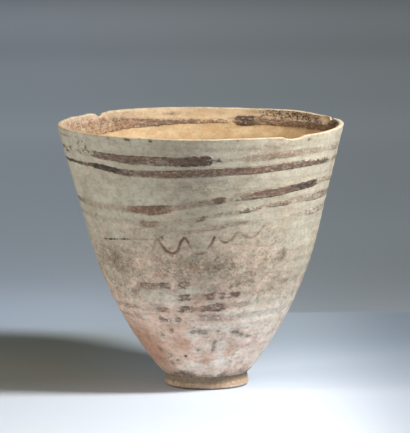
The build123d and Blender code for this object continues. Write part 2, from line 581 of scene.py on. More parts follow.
@dataclass(frozen=True)
class LineStroke:
    """Thin line drawn freehand through a row of touches."""

    touches: tuple[Touch, ...]
    width: float
    radius: float  # of the wall under the line
    steps: int = 14  # points from one touch to the next
    reach: float = 4.0  # no paint lies further than this from the path
    soft_edge: float = 0.45
    plain_tone: float = 0.35  # away from the line

    def path(self) -> Array:
        """Draw a smooth path through the touches.

        Returns:
            Points along the line as rows of bearing, level, strength and tone.
        """
        knots = np.array([(t.bearing, t.level, t.strength, t.tone) for t in self.touches])
        knots = np.concatenate((knots[:1], knots, knots[-1:]))
        share = np.linspace(0.0, 1.0, self.steps, endpoint=False)[:, None]
        runs = []
        for before, start, end, after in zip(knots, knots[1:], knots[2:], knots[3:]):
            bend = (2 * before - 5 * start + 4 * end - after) * share**2
            twist = (3 * start - before - 3 * end + after) * share**3
            runs.append(0.5 * (2 * start + (end - before) * share + bend + twist))
        return np.concatenate(runs)

    def cover(self, bearing: Array, level: Array) -> tuple[Array, Array]:
        """Read the line.

        Args:
            bearing: Bearings of the points.
            level: Levels of the points.

        Returns:
            How much paint is left at each point, and its tone.
        """
        path = self.path()
        amount = np.zeros(bearing.shape)
        tone = np.full(bearing.shape, self.plain_tone)
        centre = path[:, 0].mean()
        turn, ends = apart(bearing, centre), apart(path[:, 0], centre)
        beyond = np.degrees(self.reach / self.radius)
        near = (turn >= ends.min() - beyond) & (turn <= ends.max() + beyond)
        near &= (level > path[:, 1].min() - self.reach) & (level < path[:, 1].max() + self.reach)
        if near.any():
            run = np.radians(apart(bearing[near][:, None], path[None, :, 0])) * self.radius
            gap = np.hypot(run, level[near][:, None] - path[None, :, 1])
            nearest = gap.argmin(axis=1)
            edge = ease(self.width / 2.0 - gap.min(axis=1), -self.soft_edge, self.soft_edge)
            amount[near] = edge * np.clip(path[nearest, 2], 0.0, 1.0)
            tone[near] = path[nearest, 3]
        return amount, tone


# Strokes outside, from the lip down

COLLAR_UPPER = BandStroke(
    levels=((-178, 147.6), (-168, 147.6), (-152, 147.4), (-140, 146.2), (-122, 144.5), (-105, 143.8),
            (-87, 144.5), (-63, 145.1), (-34, 145.0), (0, 144.2), (60, 144.4), (120, 145.0)),
    dabs=(
        Dab(-180, 0.25, 0.7, 4), Dab(-168, 0.35, 0.9, 4.4), Dab(-152, 0.3, 0.7, 5),
        Dab(-143, 0.45, 0.6, 4.6), Dab(-140, 0.92, 0.55, 4.4), Dab(-128, 0.96, 0.55, 5.2),
        Dab(-116, 0.96, 0.55, 5.8), Dab(-113.6, 0.82, 0.4, 5.6), Dab(-111, 0.9, 0.55, 5.6),
        Dab(-104, 0.88, 0.6, 5.8), Dab(-98, 0.95, 0.75, 6.4), Dab(-87.6, 0.98, 0.85, 6.4),
        Dab(-86.8, 0.2, 0.8, 3), Dab(-84.6, 0.62, 0.9, 3.4), Dab(-82, 0.3, 0.6, 2.4),
        Dab(-77, 0.3, 0.5, 2.2), Dab(-72, 0.5, 0.15, 4.4), Dab(-60, 0.58, 0.1, 4.6),
        Dab(-45, 0.54, 0.15, 4.4), Dab(-36, 0.4, 0.2, 3.6), Dab(-28, 0.25, 0.3, 3),
        Dab(-20, 0.62, 0.5, 4.4), Dab(-6, 0.42, 0.5, 4.2), Dab(20, 0.75, 0.5, 5), Dab(58, 0.95, 0.7, 5.6),
        Dab(86, 0.6, 0.3, 4.8), Dab(118, 0.85, 0.5, 5.4), Dab(150, 0.5, 0.4, 4.6),
    ),
)

COLLAR_LOWER = BandStroke(
    levels=((-178, 139.8), (-154, 139.6), (-142, 138.9), (-131, 137.3), (-124, 136.0), (-114, 135.5),
            (-103, 136.0), (-80, 137.0), (-52, 137.7), (-20, 137.2), (30, 136.2), (90, 136.2), (140, 138.0)),
    dabs=(
        Dab(-178, 0.9, 0.9, 1.9), Dab(-160, 0.92, 0.85, 2), Dab(-147, 0.9, 0.6, 2.2),
        Dab(-143, 1, 0.95, 3.4), Dab(-131, 1, 1, 4.4), Dab(-128, 0.92, 0.5, 4.2), Dab(-120, 0.9, 0.4, 4.2),
        Dab(-113, 0.85, 0.5, 4.6), Dab(-106, 0.88, 0.3, 5), Dab(-98, 0.94, 0.48, 5.2),
        Dab(-88, 0.93, 0.46, 5.3), Dab(-76, 0.93, 0.5, 5.2), Dab(-66, 0.88, 0.3, 4.8),
        Dab(-58, 0.9, 0.55, 5), Dab(-46, 0.86, 0.6, 4.4), Dab(-36, 0.8, 0.7, 3.8), Dab(-27, 0.7, 0.8, 3.4),
        Dab(-18, 0.45, 0.6, 2.4), Dab(10, 0.8, 0.5, 4), Dab(60, 0.95, 0.4, 4.8), Dab(100, 0.8, 0.3, 4.6),
        Dab(135, 0.95, 0.6, 4.4), Dab(162, 0.85, 0.8, 3),
    ),
)

MIDDLE_UPPER = BandStroke(
    levels=((-170, 114.0), (-151, 113.2), (-127, 112.6), (-116, 112.0), (-107, 113.5), (-97, 116.2),
            (-84, 118.5), (-75, 120.3), (-55, 122.2), (-43, 123.5), (-29, 124.6), (0, 124.8), (45, 122.8),
            (90, 118.8), (135, 115.4)),
    dabs=(
        Dab(-176, 0.6, 0.6, 3), Dab(-169, 0.85, 0.6, 3.4), Dab(-163, 0.55, 0.35, 3.4),
        Dab(-157, 0.5, 0.3, 3.4), Dab(-150, 0.34, 0.2, 4.4), Dab(-131, 0.3, 0.1, 4.4),
        Dab(-126, 0.84, 0.2, 4), Dab(-116, 0.96, 0.24, 6.4), Dab(-109, 0.9, 0.28, 5.4),
        Dab(-105, 0.44, 0.1, 4), Dab(-97, 0.5, 0.15, 4.2), Dab(-89, 0.6, 0.25, 4.6),
        Dab(-85.5, 0.93, 0.68, 4.8), Dab(-82, 0.9, 0.68, 5), Dab(-80, 0.36, 0.4, 4),
        Dab(-76, 0.62, 0.5, 4.8), Dab(-69, 0.82, 0.5, 5), Dab(-64, 0.97, 0.5, 5.6),
        Dab(-54, 0.96, 0.55, 5.6), Dab(-44, 0.9, 0.78, 5), Dab(-31, 0.84, 0.78, 4.6),
        Dab(-28, 0.5, 0.3, 3.8), Dab(-12, 0.62, 0.3, 4.2), Dab(25, 0.9, 0.6, 4.8), Dab(70, 0.6, 0.4, 4.6),
        Dab(105, 0.9, 0.6, 5), Dab(150, 0.7, 0.4, 4.2),
    ),
)

MIDDLE_CENTRE = BandStroke(
    levels=((-160, 105.6), (-134, 104.4), (-120, 103.2), (-112, 103.8), (-102, 105.5), (-92, 107.2),
            (-82, 109.4), (-72, 111.2), (-57, 113.8), (-42, 115.4), (-29, 115.0), (0, 115.2), (45, 113.4),
            (90, 109.6), (140, 106.6)),
    dabs=(
        Dab(-175, 0.4, 0.3, 3.4), Dab(-150, 0.2, 0.2, 3), Dab(-124, 0.22, 0.15, 3.2),
        Dab(-121, 0.62, 0.12, 3.8), Dab(-114, 0.6, 0.15, 3.6), Dab(-111, 0.24, 0.2, 3),
        Dab(-95, 0.28, 0.3, 2.8), Dab(-93.4, 0.88, 0.6, 3.2), Dab(-91, 0.82, 0.6, 3),
        Dab(-89, 0.32, 0.4, 2.8), Dab(-76, 0.38, 0.4, 3), Dab(-73.5, 0.7, 0.72, 2.8),
        Dab(-65, 0.66, 0.72, 2.7), Dab(-62, 0.4, 0.6, 2.6), Dab(-57, 0.74, 0.5, 3.2),
        Dab(-50, 0.8, 0.6, 3.6), Dab(-46, 0.42, 0.35, 3.6), Dab(-34, 0.66, 0.4, 5),
        Dab(-20, 0.76, 0.5, 5.2), Dab(-4, 0.6, 0.4, 4.6), Dab(40, 0.85, 0.5, 4.2), Dab(85, 0.5, 0.4, 4),
        Dab(125, 0.8, 0.5, 4.2), Dab(155, 0.6, 0.4, 3.8),
    ),
)

MIDDLE_LOWER = BandStroke(
    levels=((-150, 97.4), (-110, 98.2), (-96, 99.2), (-88, 100.2), (-81, 101.6), (-72, 103.8), (-50, 105.2),
            (-30, 105.4), (-5, 106.4), (40, 105.0), (90, 101.6), (140, 98.2)),
    dabs=(
        Dab(-150, 0.1, 0.3, 3), Dab(-110, 0.14, 0.2, 2.8), Dab(-99, 0.34, 0.2, 2.8),
        Dab(-90, 0.4, 0.3, 2.6), Dab(-84, 0.5, 0.3, 2.8), Dab(-76, 0.52, 0.35, 3),
        Dab(-71.4, 0.62, 0.5, 2.6), Dab(-69.5, 0.1, 0.4, 2.4), Dab(-44, 0.12, 0.4, 3.2),
        Dab(-33, 0.56, 0.5, 4.4), Dab(-18, 0.6, 0.55, 4.6), Dab(-4, 0.45, 0.5, 4), Dab(8, 0.18, 0.4, 3),
        Dab(60, 0.22, 0.4, 3.2), Dab(110, 0.15, 0.4, 3.2),
    ),
)

LOWER_BANDS = (
    BandStroke(
        levels=((-160, 62.4), (-130, 62.6), (-120, 62.8), (-111, 63.6), (-100, 65.0), (-74, 64.6), (0, 67.0),
                (90, 64.5)),
        dabs=(
            Dab(-160, 0.1, 0.39, 3.5), Dab(-134, 0.1, 0.39, 3.5), Dab(-130.5, 0.7, 0.27, 4.4),
            Dab(-121, 0.74, 0.31, 4.6), Dab(-119.4, 0.5, 0.08, 4), Dab(-118, 0.76, 0.55, 4.4),
            Dab(-111.6, 0.74, 0.55, 4.2), Dab(-110.4, 0.08, 0.39, 3), Dab(-108, 0.12, 0.39, 3),
            Dab(-107, 0.6, 0.58, 5), Dab(-101, 0.62, 0.58, 4.8), Dab(-99, 0.08, 0.39, 3),
            Dab(-80, 0.1, 0.31, 3), Dab(-73, 0.34, 0.47, 2.4), Dab(-66, 0.3, 0.47, 2.4),
            Dab(-60, 0.06, 0.31, 3), Dab(90, 0.2, 0.31, 3.6),
        ),
        rough=1.7,
    ),
    BandStroke(
        levels=((-160, 54.0), (-108, 55.2), (-100, 56.0), (-90, 57.0), (-71, 57.4), (0, 59.5), (90, 57.0)),
        dabs=(
            Dab(-160, 0.1, 0.39, 3.5), Dab(-136, 0.36, 0.55, 3), Dab(-132, 0.3, 0.55, 2.6),
            Dab(-128, 0.06, 0.39, 3), Dab(-109, 0.1, 0.47, 3), Dab(-107, 0.72, 0.58, 4.4),
            Dab(-101, 0.78, 0.58, 4.6), Dab(-99.4, 0.3, 0.31, 4), Dab(-93, 0.36, 0.27, 4.4),
            Dab(-90, 0.85, 0.47, 4.2), Dab(-87, 0.82, 0.43, 4.6), Dab(-84, 0.46, 0.39, 4),
            Dab(-81, 0.8, 0.47, 4.2), Dab(-77.5, 0.5, 0.39, 4), Dab(-75, 0.95, 0.66, 4.4),
            Dab(-71.6, 0.9, 0.62, 4.2), Dab(-69, 0.36, 0.31, 2.6), Dab(-60, 0.3, 0.27, 2.2),
            Dab(-54, 0.08, 0.31, 2.4), Dab(90, 0.2, 0.31, 3.6),
        ),
        rough=1.7,
    ),
    BandStroke(
        levels=((-160, 47.8), (-139, 47.4), (-124, 46.9), (-108, 47.6), (-87, 49.2), (-72, 50.0), (0, 52.0),
                (90, 49.6)),
        dabs=(
            Dab(-160, 0.4, 0.31, 3.2), Dab(-152, 0.62, 0.39, 3.8), Dab(-141, 0.6, 0.35, 3.6),
            Dab(-137, 0.2, 0.23, 3), Dab(-126, 0.16, 0.16, 3), Dab(-123.5, 0.74, 0.35, 3.6),
            Dab(-115.5, 0.7, 0.39, 3.6), Dab(-113.5, 0.12, 0.31, 3), Dab(-109.6, 0.16, 0.39, 3),
            Dab(-108, 0.74, 0.62, 4.4), Dab(-99.6, 0.7, 0.58, 4), Dab(-98, 0.26, 0.31, 3.4),
            Dab(-95, 0.3, 0.23, 3.4), Dab(-93.6, 0.76, 0.55, 5), Dab(-86, 0.82, 0.62, 5.4),
            Dab(-79.4, 0.74, 0.55, 5), Dab(-78, 0.3, 0.31, 3.6), Dab(-66, 0.3, 0.31, 3),
            Dab(-58, 0.08, 0.31, 3), Dab(90, 0.2, 0.31, 3.4),
        ),
        rough=1.7,
    ),
    BandStroke(
        levels=((-160, 41.0), (-141, 40.8), (-125, 40.2), (-114, 41.0), (-94, 42.0), (-80, 42.2), (0, 44.4),
                (90, 42.0)),
        dabs=(
            Dab(-160, 0.35, 0.31, 3), Dab(-150, 0.58, 0.39, 3.4), Dab(-141, 0.52, 0.35, 3.2),
            Dab(-137, 0.14, 0.23, 3), Dab(-125.5, 0.14, 0.31, 3), Dab(-124, 0.7, 0.58, 3.6),
            Dab(-115.6, 0.66, 0.62, 3.4), Dab(-113.6, 0.1, 0.31, 3), Dab(-111.6, 0.62, 0.62, 3),
            Dab(-108.4, 0.6, 0.62, 3), Dab(-107, 0.12, 0.23, 3), Dab(-95.5, 0.24, 0.23, 3.6),
            Dab(-93.8, 0.6, 0.39, 4.4), Dab(-81.4, 0.56, 0.39, 4.4), Dab(-79.6, 0.22, 0.23, 4),
            Dab(-66, 0.2, 0.23, 3.6), Dab(-58, 0.06, 0.31, 3), Dab(90, 0.18, 0.31, 3.4),
        ),
        rough=1.7,
    ),
)

# Strokes inside the lip

MOUTH = BandStroke(
    levels=((-180, 150.6), (-90, 150.6), (-20, 150.4), (8, 150.0), (30, 149.4), (62, 149.6), (75, 150.0),
            (80, 149.0), (100, 149.4), (112, 149.8), (125, 150.6), (160, 151.4)),
    dabs=(
        Dab(-170, 0.5, 0.3, 8), Dab(-140, 0.8, 0.5, 6), Dab(-100, 0.75, 0.5, 5.6), Dab(-60, 0.85, 0.6, 6.2),
        Dab(-25, 0.75, 0.5, 5.6), Dab(8, 0.9, 0.7, 6), Dab(28, 0.88, 0.6, 5.2), Dab(45, 0.84, 0.5, 4.8),
        Dab(60, 0.76, 0.5, 5), Dab(64.5, 0.84, 0.8, 6.4), Dab(72.5, 0.88, 0.9, 6.4), Dab(74, 0.5, 0.5, 3.4),
        Dab(80, 0.7, 0.6, 2.6), Dab(92, 0.84, 0.65, 2.8), Dab(104, 0.9, 0.65, 3.2),
        Dab(110, 0.92, 0.6, 4.6), Dab(120, 0.9, 0.4, 6.4), Dab(135, 0.76, 0.3, 9.4),
        Dab(150, 0.64, 0.25, 12.2), Dab(165, 0.57, 0.22, 13),
    ),
)

MOUTH_SPLASH = BandStroke(
    levels=((-180, 155.0), (20, 154.4), (45, 155.2), (62, 155.4), (90, 155.0)),
    dabs=(
        Dab(8, 0.84, 0.8, 7), Dab(30, 0.62, 0.85, 7), Dab(50, 0.58, 0.85, 6.6), Dab(62, 0.5, 0.8, 4.6),
        Dab(68, 0, 0.4, 2), Dab(96, 0, 0.4, 2), Dab(101, 0.8, 0.5, 2), Dab(107, 0, 0.2, 2),
        Dab(112, 0.1, 0, 5), Dab(118, 0.28, 0, 6), Dab(140, 0.34, 0, 7), Dab(168, 0.3, 0, 8),
        Dab(-165, 0, 0.2, 6), Dab(-12, 0, 0.6, 4),
    ),
)

# Wavy line under the middle bands

WAVE = LineStroke(
    touches=(
        Touch(-121.6, 84.6, 0.1), Touch(-119.4, 85.6, 0.3), Touch(-117.6, 88, 0.36),
        Touch(-115.8, 93, 0.42), Touch(-114.4, 94, 0.4, 0.4), Touch(-113.4, 91.8, 0.62),
        Touch(-112, 88.6, 0.78), Touch(-110.2, 86.2, 0.86), Touch(-107.5, 84.9, 0.86),
        Touch(-105.2, 86.4, 0.86), Touch(-103.6, 89.8, 0.86), Touch(-102.4, 93.2, 0.92, 0.5),
        Touch(-100.8, 95, 0.95, 0.6), Touch(-99.5, 93.4, 0.95), Touch(-98.4, 90.4, 0.6),
        Touch(-97.2, 87, 0.12), Touch(-95.8, 85.2, 0.5, 0), Touch(-93.4, 85, 0.66, 0),
        Touch(-91.4, 85.2, 0.58, 0), Touch(-90, 86.6, 0.1), Touch(-88.6, 89.4, 0.8),
        Touch(-87.2, 92.2, 0.92, 0.55), Touch(-85.9, 95.4, 0.95, 0.4), Touch(-84.9, 95.8, 0.1),
        Touch(-83.6, 94.2, 0.5), Touch(-82, 92.4, 0.7), Touch(-80.4, 91.7, 0.9, 0.5),
        Touch(-78.6, 93, 0.6, 0.1), Touch(-76.6, 95, 0.5, 0.1), Touch(-74.8, 97.8, 0.5),
        Touch(-73.6, 97.6, 0.2), Touch(-72.2, 96.2, 0.42), Touch(-70, 94.3, 0.5), Touch(-67.4, 93.9, 0.52),
        Touch(-64.8, 95.4, 0.52), Touch(-62.9, 98.6, 0.56), Touch(-61, 101, 0.55), Touch(-58.8, 101.8, 0.4),
        Touch(-56.4, 100.8, 0.1),
    ),
    width=1.85,
    radius=72.0,
)

# Small spots of paint outside

DRIPS = (
    # Just under the lip
    Mark(-166, 155.6, 9, 0.9, 0.6), Mark(-152, 156.2, 5, 0.6, 0.4), Mark(-132, 158, 1.4, 1.2, 0.8),
    Mark(-124, 157.8, 1.6, 1, 0.7), Mark(-121.4, 157.6, 1.2, 1.2, 0.75), Mark(-112, 157.2, 1, 1.4, 0.8),
    Mark(-77, 156.2, 1, 1.2, 0.6),
    # Faint smears between the bands
    Mark(-93, 150, 5, 4, 0.16), Mark(-156, 151, 3, 2.4, 0.3), Mark(-160, 144, 4, 1.6, 0.4),
    Mark(-84, 114.6, 10, 1.2, 0.3),
    # Specks and a short dash above the wave
    Mark(-100, 118.8, 1, 0.5, 0.6), Mark(-122, 119, 1.2, 0.5, 0.5), Mark(-115.8, 97.6, 1.4, 0.9, 0.62),
    Mark(-113.6, 96.2, 1.9, 0.9, 0.78), Mark(-111.2, 94.9, 1.5, 0.7, 0.66),
    # Broken left end of the first collar band
    Mark(-172, 147.4, 6, 1.4, 0.9), Mark(-166, 145.4, 3.6, 0.9, 0.8), Mark(-160.6, 148, 2.4, 1.6, 0.75),
    Mark(-151.6, 152, 1.3, 2, 0.7), Mark(-148.4, 154, 2, 0.8, 0.7), Mark(-146.8, 150.6, 1.2, 1.8, 0.7),
    Mark(-153, 146.4, 2.6, 1, 0.85), Mark(-149, 147.6, 1.2, 1, 0.75), Mark(-145.2, 148, 1.6, 1.2, 0.8),
    Mark(-143, 145.6, 1.4, 0.8, 0.75),
    # Flecks on the left of the belly
    Mark(-143, 82, 1.3, 0.8, 0.5), Mark(-141, 78, 1, 0.9, 0.6), Mark(-139.5, 75, 1.4, 0.7, 0.55),
    Mark(-138, 71.5, 1, 0.9, 0.6), Mark(-137.5, 68, 1.6, 0.7, 0.6), Mark(-134, 66.5, 1.2, 0.8, 0.6),
    Mark(-140, 66, 1.2, 0.6, 0.5), Mark(-147, 84, 1.2, 0.7, 0.55), Mark(-149, 77, 1, 1, 0.55),
    Mark(-146, 70.5, 1.4, 0.7, 0.6), Mark(-150, 66, 1, 0.8, 0.5), Mark(-144, 62.4, 1.2, 0.6, 0.55),
    Mark(-132, 73, 1, 0.6, 0.5), Mark(-129, 69.4, 1.2, 0.6, 0.5), Mark(-136.6, 80.4, 0.9, 0.6, 0.5),
    # Stains beside the middle bands
    Mark(-152, 106.5, 2.2, 1.4, 0.45), Mark(-145, 95.6, 3, 1.6, 0.3),
)

OUTSIDE_STROKES = (COLLAR_UPPER, COLLAR_LOWER, MIDDLE_UPPER, MIDDLE_CENTRE, MIDDLE_LOWER, WAVE, *LOWER_BANDS)
INSIDE_STROKES = (MOUTH, MOUTH_SPLASH)

# Crust and stains, with painted shade and painted light in a few marks

GRIME_AND_SHADE_MARKS = (
    # Crusts low on the front
    Mark(-101.6, 32.2, 2.6, 1.6, 0.78), Mark(-95, 33, 5.3, 2.1, 0.8), Mark(-92, 31.6, 2.4, 1.8, 0.68),
    Mark(-82.5, 32.8, 1.9, 1.3, 0.68), Mark(-69.4, 32, 4, 2.1, 0.74), Mark(-64, 29.4, 3.8, 1.8, 0.66),
    Mark(-57, 27.8, 4.2, 1.6, 0.62), Mark(-84.4, 24.6, 2.2, 3.1, 0.78), Mark(-85.8, 20, 2, 3.4, 0.76),
    Mark(-79, 27.4, 3.1, 2.1, 0.6), Mark(-98.5, 20, 3.4, 1.6, 0.7), Mark(-125.9, 30.4, 2.8, 2.3, 0.74),
    Mark(-117, 32.9, 2.5, 2.5, 0.74), Mark(-127.4, 15.8, 3.8, 2.2, 0.7), Mark(-129.5, 10.6, 4.1, 2.1, 0.7),
    Mark(-120.6, 12.5, 4.3, 1.6, 0.64), Mark(-136, 20, 2.6, 4.2, 0.68), Mark(-143, 28, 3.6, 6.5, 0.48),
    Mark(-97, 12, 3.6, 1.6, 0.53), Mark(-66, 14, 2.4, 6.5, 0.48), Mark(-122, 5, 12, 2.4, 0.3),
    Mark(-70, 6, 4, 4, 0.3), Mark(-58, 9, 2, 4, 0.3),
    # Stains around the middle of the wall
    Mark(-144, 75, 14, 9, 0.32), Mark(-152, 60, 8, 7, 0.22), Mark(-117, 73, 7, 4, 0.18),
    Mark(-84, 76, 15, 5, 0.26), Mark(-55, 82, 10, 7, 0.14), Mark(-44, 67, 6, 2.4, 0.18),
    Mark(-38.7, 62.6, 3.2, 2.2, 0.46), Mark(-136, 58, 3, 2.2, 0.4), Mark(-72, 63, 6, 2, 0.25),
    Mark(-64, 66, 6, 3, 0.2), Mark(-122, 50, 7, 2, 0.3),
    # Painted shade high on the front, laid on as greyer slip
    Mark(-90, 127, 24, 6, 0.48), Mark(-86, 151, 20, 6, 0.24),
    # Cleaner slip on the right, also painted light on the lit side, with a few runs and blots
    Mark(-24, 86, 22, 24, -0.34), Mark(-31, 71, 16, 10, -0.2), Mark(-26, 100, 1.2, 3, 0.5),
    Mark(-40, 93.6, 1.1, 3, 0.5), Mark(-40, 97.4, 2.4, 1.2, 0.4), Mark(-28.3, 82.7, 1.2, 2.6, 0.5),
    Mark(-46, 82.7, 3.4, 4, 0.42), Mark(-52.8, 91, 2.2, 3, 0.42), Mark(-48.2, 77.7, 3.5, 2.4, 0.42),
    Mark(-27.8, 64, 3, 1.6, 0.5), Mark(-50, 58.2, 2, 2.2, 0.42), Mark(-58, 53, 1.8, 3, 0.42),
    # Painted shade under the lip beside the notch
    Mark(-61, 151, 14, 5, 0.32),
    # Stains on the back
    Mark(40, 66, 40, 12, 0.25), Mark(120, 30, 30, 12, 0.3),
)

# Slip worn to the clay, or left whole where the amount is below 0

BARE_MARKS = (
    # Patches low on the front
    Mark(-109, 24, 11, 7, 0.34), Mark(-92, 13, 5, 4, 0.34), Mark(-71, 19, 3.5, 6, 0.3),
    # Red flush low on the left
    Mark(-160, 20, 30, 22, 0.42), Mark(-143, 19, 11, 13, 0.2), Mark(-136, 20, 8, 9, 0.14),
    # Scuffed left end of the lip
    Mark(150, 155, 26, 3.5, 0.5),
    # Streaks along the finger rings
    Mark(-118, 43.8, 26, 1, 0.3), Mark(-104, 48.4, 34, 0.8, 0.24), Mark(-92, 40.4, 26, 0.8, 0.28),
    Mark(-112, 36, 14, 2, 0.25),
    # Patches among the stains
    Mark(-97, 75, 4, 2.6, 0.7), Mark(-118, 70, 4, 2, 0.55), Mark(-128, 77, 6, 3.5, 0.25),
    Mark(-85, 54, 16, 8, 0.15), Mark(-96, 52, 3, 9, 0.2),
    # Whole slip
    Mark(-125, 57, 7, 3, -0.6), Mark(-100, 60, 7, 2.6, -0.6), Mark(-50, 44, 22, 16, -0.15),
    Mark(-75, 10, 7, 5, -0.3), Mark(-102, 31, 6, 4, -0.3), Mark(-30, 88, 22, 22, -0.3),
    # Wear on the back
    Mark(60, 40, 40, 20, 0.15),
)


@dataclass(frozen=True)
class Skin:
    """What lies on the clay of the body: slip, wear, crust and paint, with a few marks of painted shade and
    light.
    """

    shape: BodyShape
    grain: Grain = Grain(53)
    plain_tone: float = 0.4  # where there is no paint
    drip_tone: float = 0.7
    worn: Knots = ((0, 0.5), (30, 0.5), (60, 0.52), (84, 0.46), (102, 0.26), (122, 0.1))
    patch_size: float = 26.0  # of the more and the less worn places
    belt: Knots = ((0, 0.1), (20, 0.07), (50, 0.14), (62, 0.44), (82, 0.44), (92, 0.28), (112, 0.1))
    stain_size: float = 17.0  # of the more and the less stained places
    dirt_top: float = 6.0  # up to here dirt has gathered above the foot
    dirt: float = 0.72
    brow: float = 0.8  # how far down the rubbed edge of the lip goes
    splashed: Sector = Sector(35.0, 32.0)  # dark spots inside the lip
    scuffed: Sector = Sector(155.0, 32.0)  # pinkish wear inside the lip
    slipped: Sector = Sector(2.0, 16.0)  # slip that runs over the lip
    splash_end: Span = (3.0, 9.0)  # depths below the lip over which the dark spots end
    scuff_end: Span = (8.0, 13.0)
    slip_end: Span = (1.5, 5.0)
    ochre_start: Span = (4.0, 10.0)  # depths over which the clay of the inside comes out

    def paint(self, bearing: Array, level: Array, inside: Array) -> tuple[Array, Array]:
        """Read the paint.

        Args:
            bearing: Bearings of the points.
            level: Levels of the points.
            inside: 1 on the inner face and 0 on the outer face.

        Returns:
            How much paint is left at each point, and its tone.
        """
        paint = np.zeros(bearing.shape)
        tone = np.full(bearing.shape, self.plain_tone)
        for strokes, side in ((OUTSIDE_STROKES, inside < 0.5), (INSIDE_STROKES, inside >= 0.5)):
            for stroke in strokes:
                amount, stroke_tone = stroke.cover(bearing, level)
                amount = np.where(side, amount, 0.0)
                tone = np.where(amount > paint, stroke_tone, tone)
                paint = np.maximum(paint, amount)
        drips = np.where(inside < 0.5, added(DRIPS, bearing, level), 0.0)
        tone = np.where(drips > paint, self.drip_tone, tone)
        return np.maximum(paint, drips), tone

    def bare(self, bearing: Array, level: Array, below_lip: Array) -> Array:
        """How far the slip is worn to the clay.

        Args:
            bearing: Bearings of the points.
            level: Levels of the points.
            below_lip: Depths of the points below the lip.

        Returns:
            The wear at each point, about 0 to 1.
        """
        clouds = self.grain.at(drum(bearing, level) / self.patch_size, 2)
        patches = along(level, self.worn) + 0.12 * clouds + added(BARE_MARKS, bearing, level)
        return patches + 0.2 * bell(below_lip, self.brow)

    def grime_and_shade(self, bearing: Array, level: Array, inside: Array, below_lip: Array) -> Array:
        """How much crust, stain and dirt there is, with painted shade high on the front and under the lip,
        and less on the lit right.

        Args:
            bearing: Bearings of the points.
            level: Levels of the points.
            inside: 1 on the inner face and 0 on the outer face.
            below_lip: Depths of the points below the lip.

        Returns:
            The grime and painted shade at each point, about 0 to 1.
        """
        place = drum(bearing, level)
        grime_and_shade = along(level, self.belt) * (1.0 + 0.5 * self.grain.at(place / self.stain_size + 4.0, 3))
        grime_and_shade = grime_and_shade + added(GRIME_AND_SHADE_MARKS, bearing, level)
        soiled = level + 3.0 * self.grain.at(place / 11.0 + 2.0, 2)
        grime_and_shade = grime_and_shade + self.dirt * (1.0 - ease(soiled, 0.1 * self.dirt_top, self.dirt_top))
        spots = 0.4 * self.splashed.at(bearing) + 0.15 * self.scuffed.at(bearing)
        return np.where(inside < 0.5, grime_and_shade, 0.08 + spots * (1.0 - ease(below_lip, *self.splash_end)))

    def ochre(self, bearing: Array, inside: Array, below_lip: Array, spall: Array) -> Array:
        """How much of the bare ochre clay of the inside shows.

        Args:
            bearing: Bearings of the points.
            inside: 1 on the inner face and 0 on the outer face.
            below_lip: Depths of the points below the lip.
            spall: Share of the flake that is lost at each point.

        Returns:
            The share of ochre at each point.
        """
        slipped = self.slipped.at(bearing)
        rubbed = 0.4 * self.scuffed.at(bearing) * (1.0 - ease(below_lip, *self.scuff_end))
        rubbed = rubbed + 0.5 * slipped * (1.0 - ease(below_lip, *self.slip_end))
        whole = 0.7 + 0.3 * ease(below_lip, *self.ochre_start)
        within = inside * np.maximum(whole - rubbed, spall)
        return np.maximum(within, (0.45 - 0.38 * slipped) * bell(below_lip, self.brow))

    def layers(self, bearing: Array, level: Array, inside: Array) -> dict[Layer, Array]:
        """Read every layer of the skin.

        Args:
            bearing: Bearings of the points.
            level: Levels of the points.
            inside: 1 on the inner face and 0 on the outer face.

        Returns:
            The layers, each with a value from 0 to 1 at each point.
        """
        shape = self.shape
        below_lip = shape.lip_level(bearing) - level
        spall = np.where(inside < 0.5, 0.0, np.clip(shape.spall.at(bearing, level), 0.0, 1.0))
        paint, tone = self.paint(bearing, level, inside)
        grime_and_shade = self.grime_and_shade(bearing, level, inside, below_lip)
        # Painted shade in the open join and in the pits
        pits = shape.crack(bearing, level) + added(shape.pits, bearing, level)
        return {
            Layer.PAINT: np.clip(paint * (1.0 - spall), 0.0, 1.0),
            Layer.TONE: np.clip(tone, 0.0, 1.0),
            Layer.WEAR_AND_HIGHLIGHT: np.clip(self.bare(bearing, level, below_lip), 0.0, 1.0),
            Layer.GRIME_AND_SHADE: np.clip(grime_and_shade * (1.0 - spall), 0.0, 0.95),
            Layer.INSIDE: self.ochre(bearing, inside, below_lip, spall),
            Layer.HOLLOW_SHADE: np.where(inside < 0.5, np.clip(pits, 0.0, 1.0), 0.0),
        }


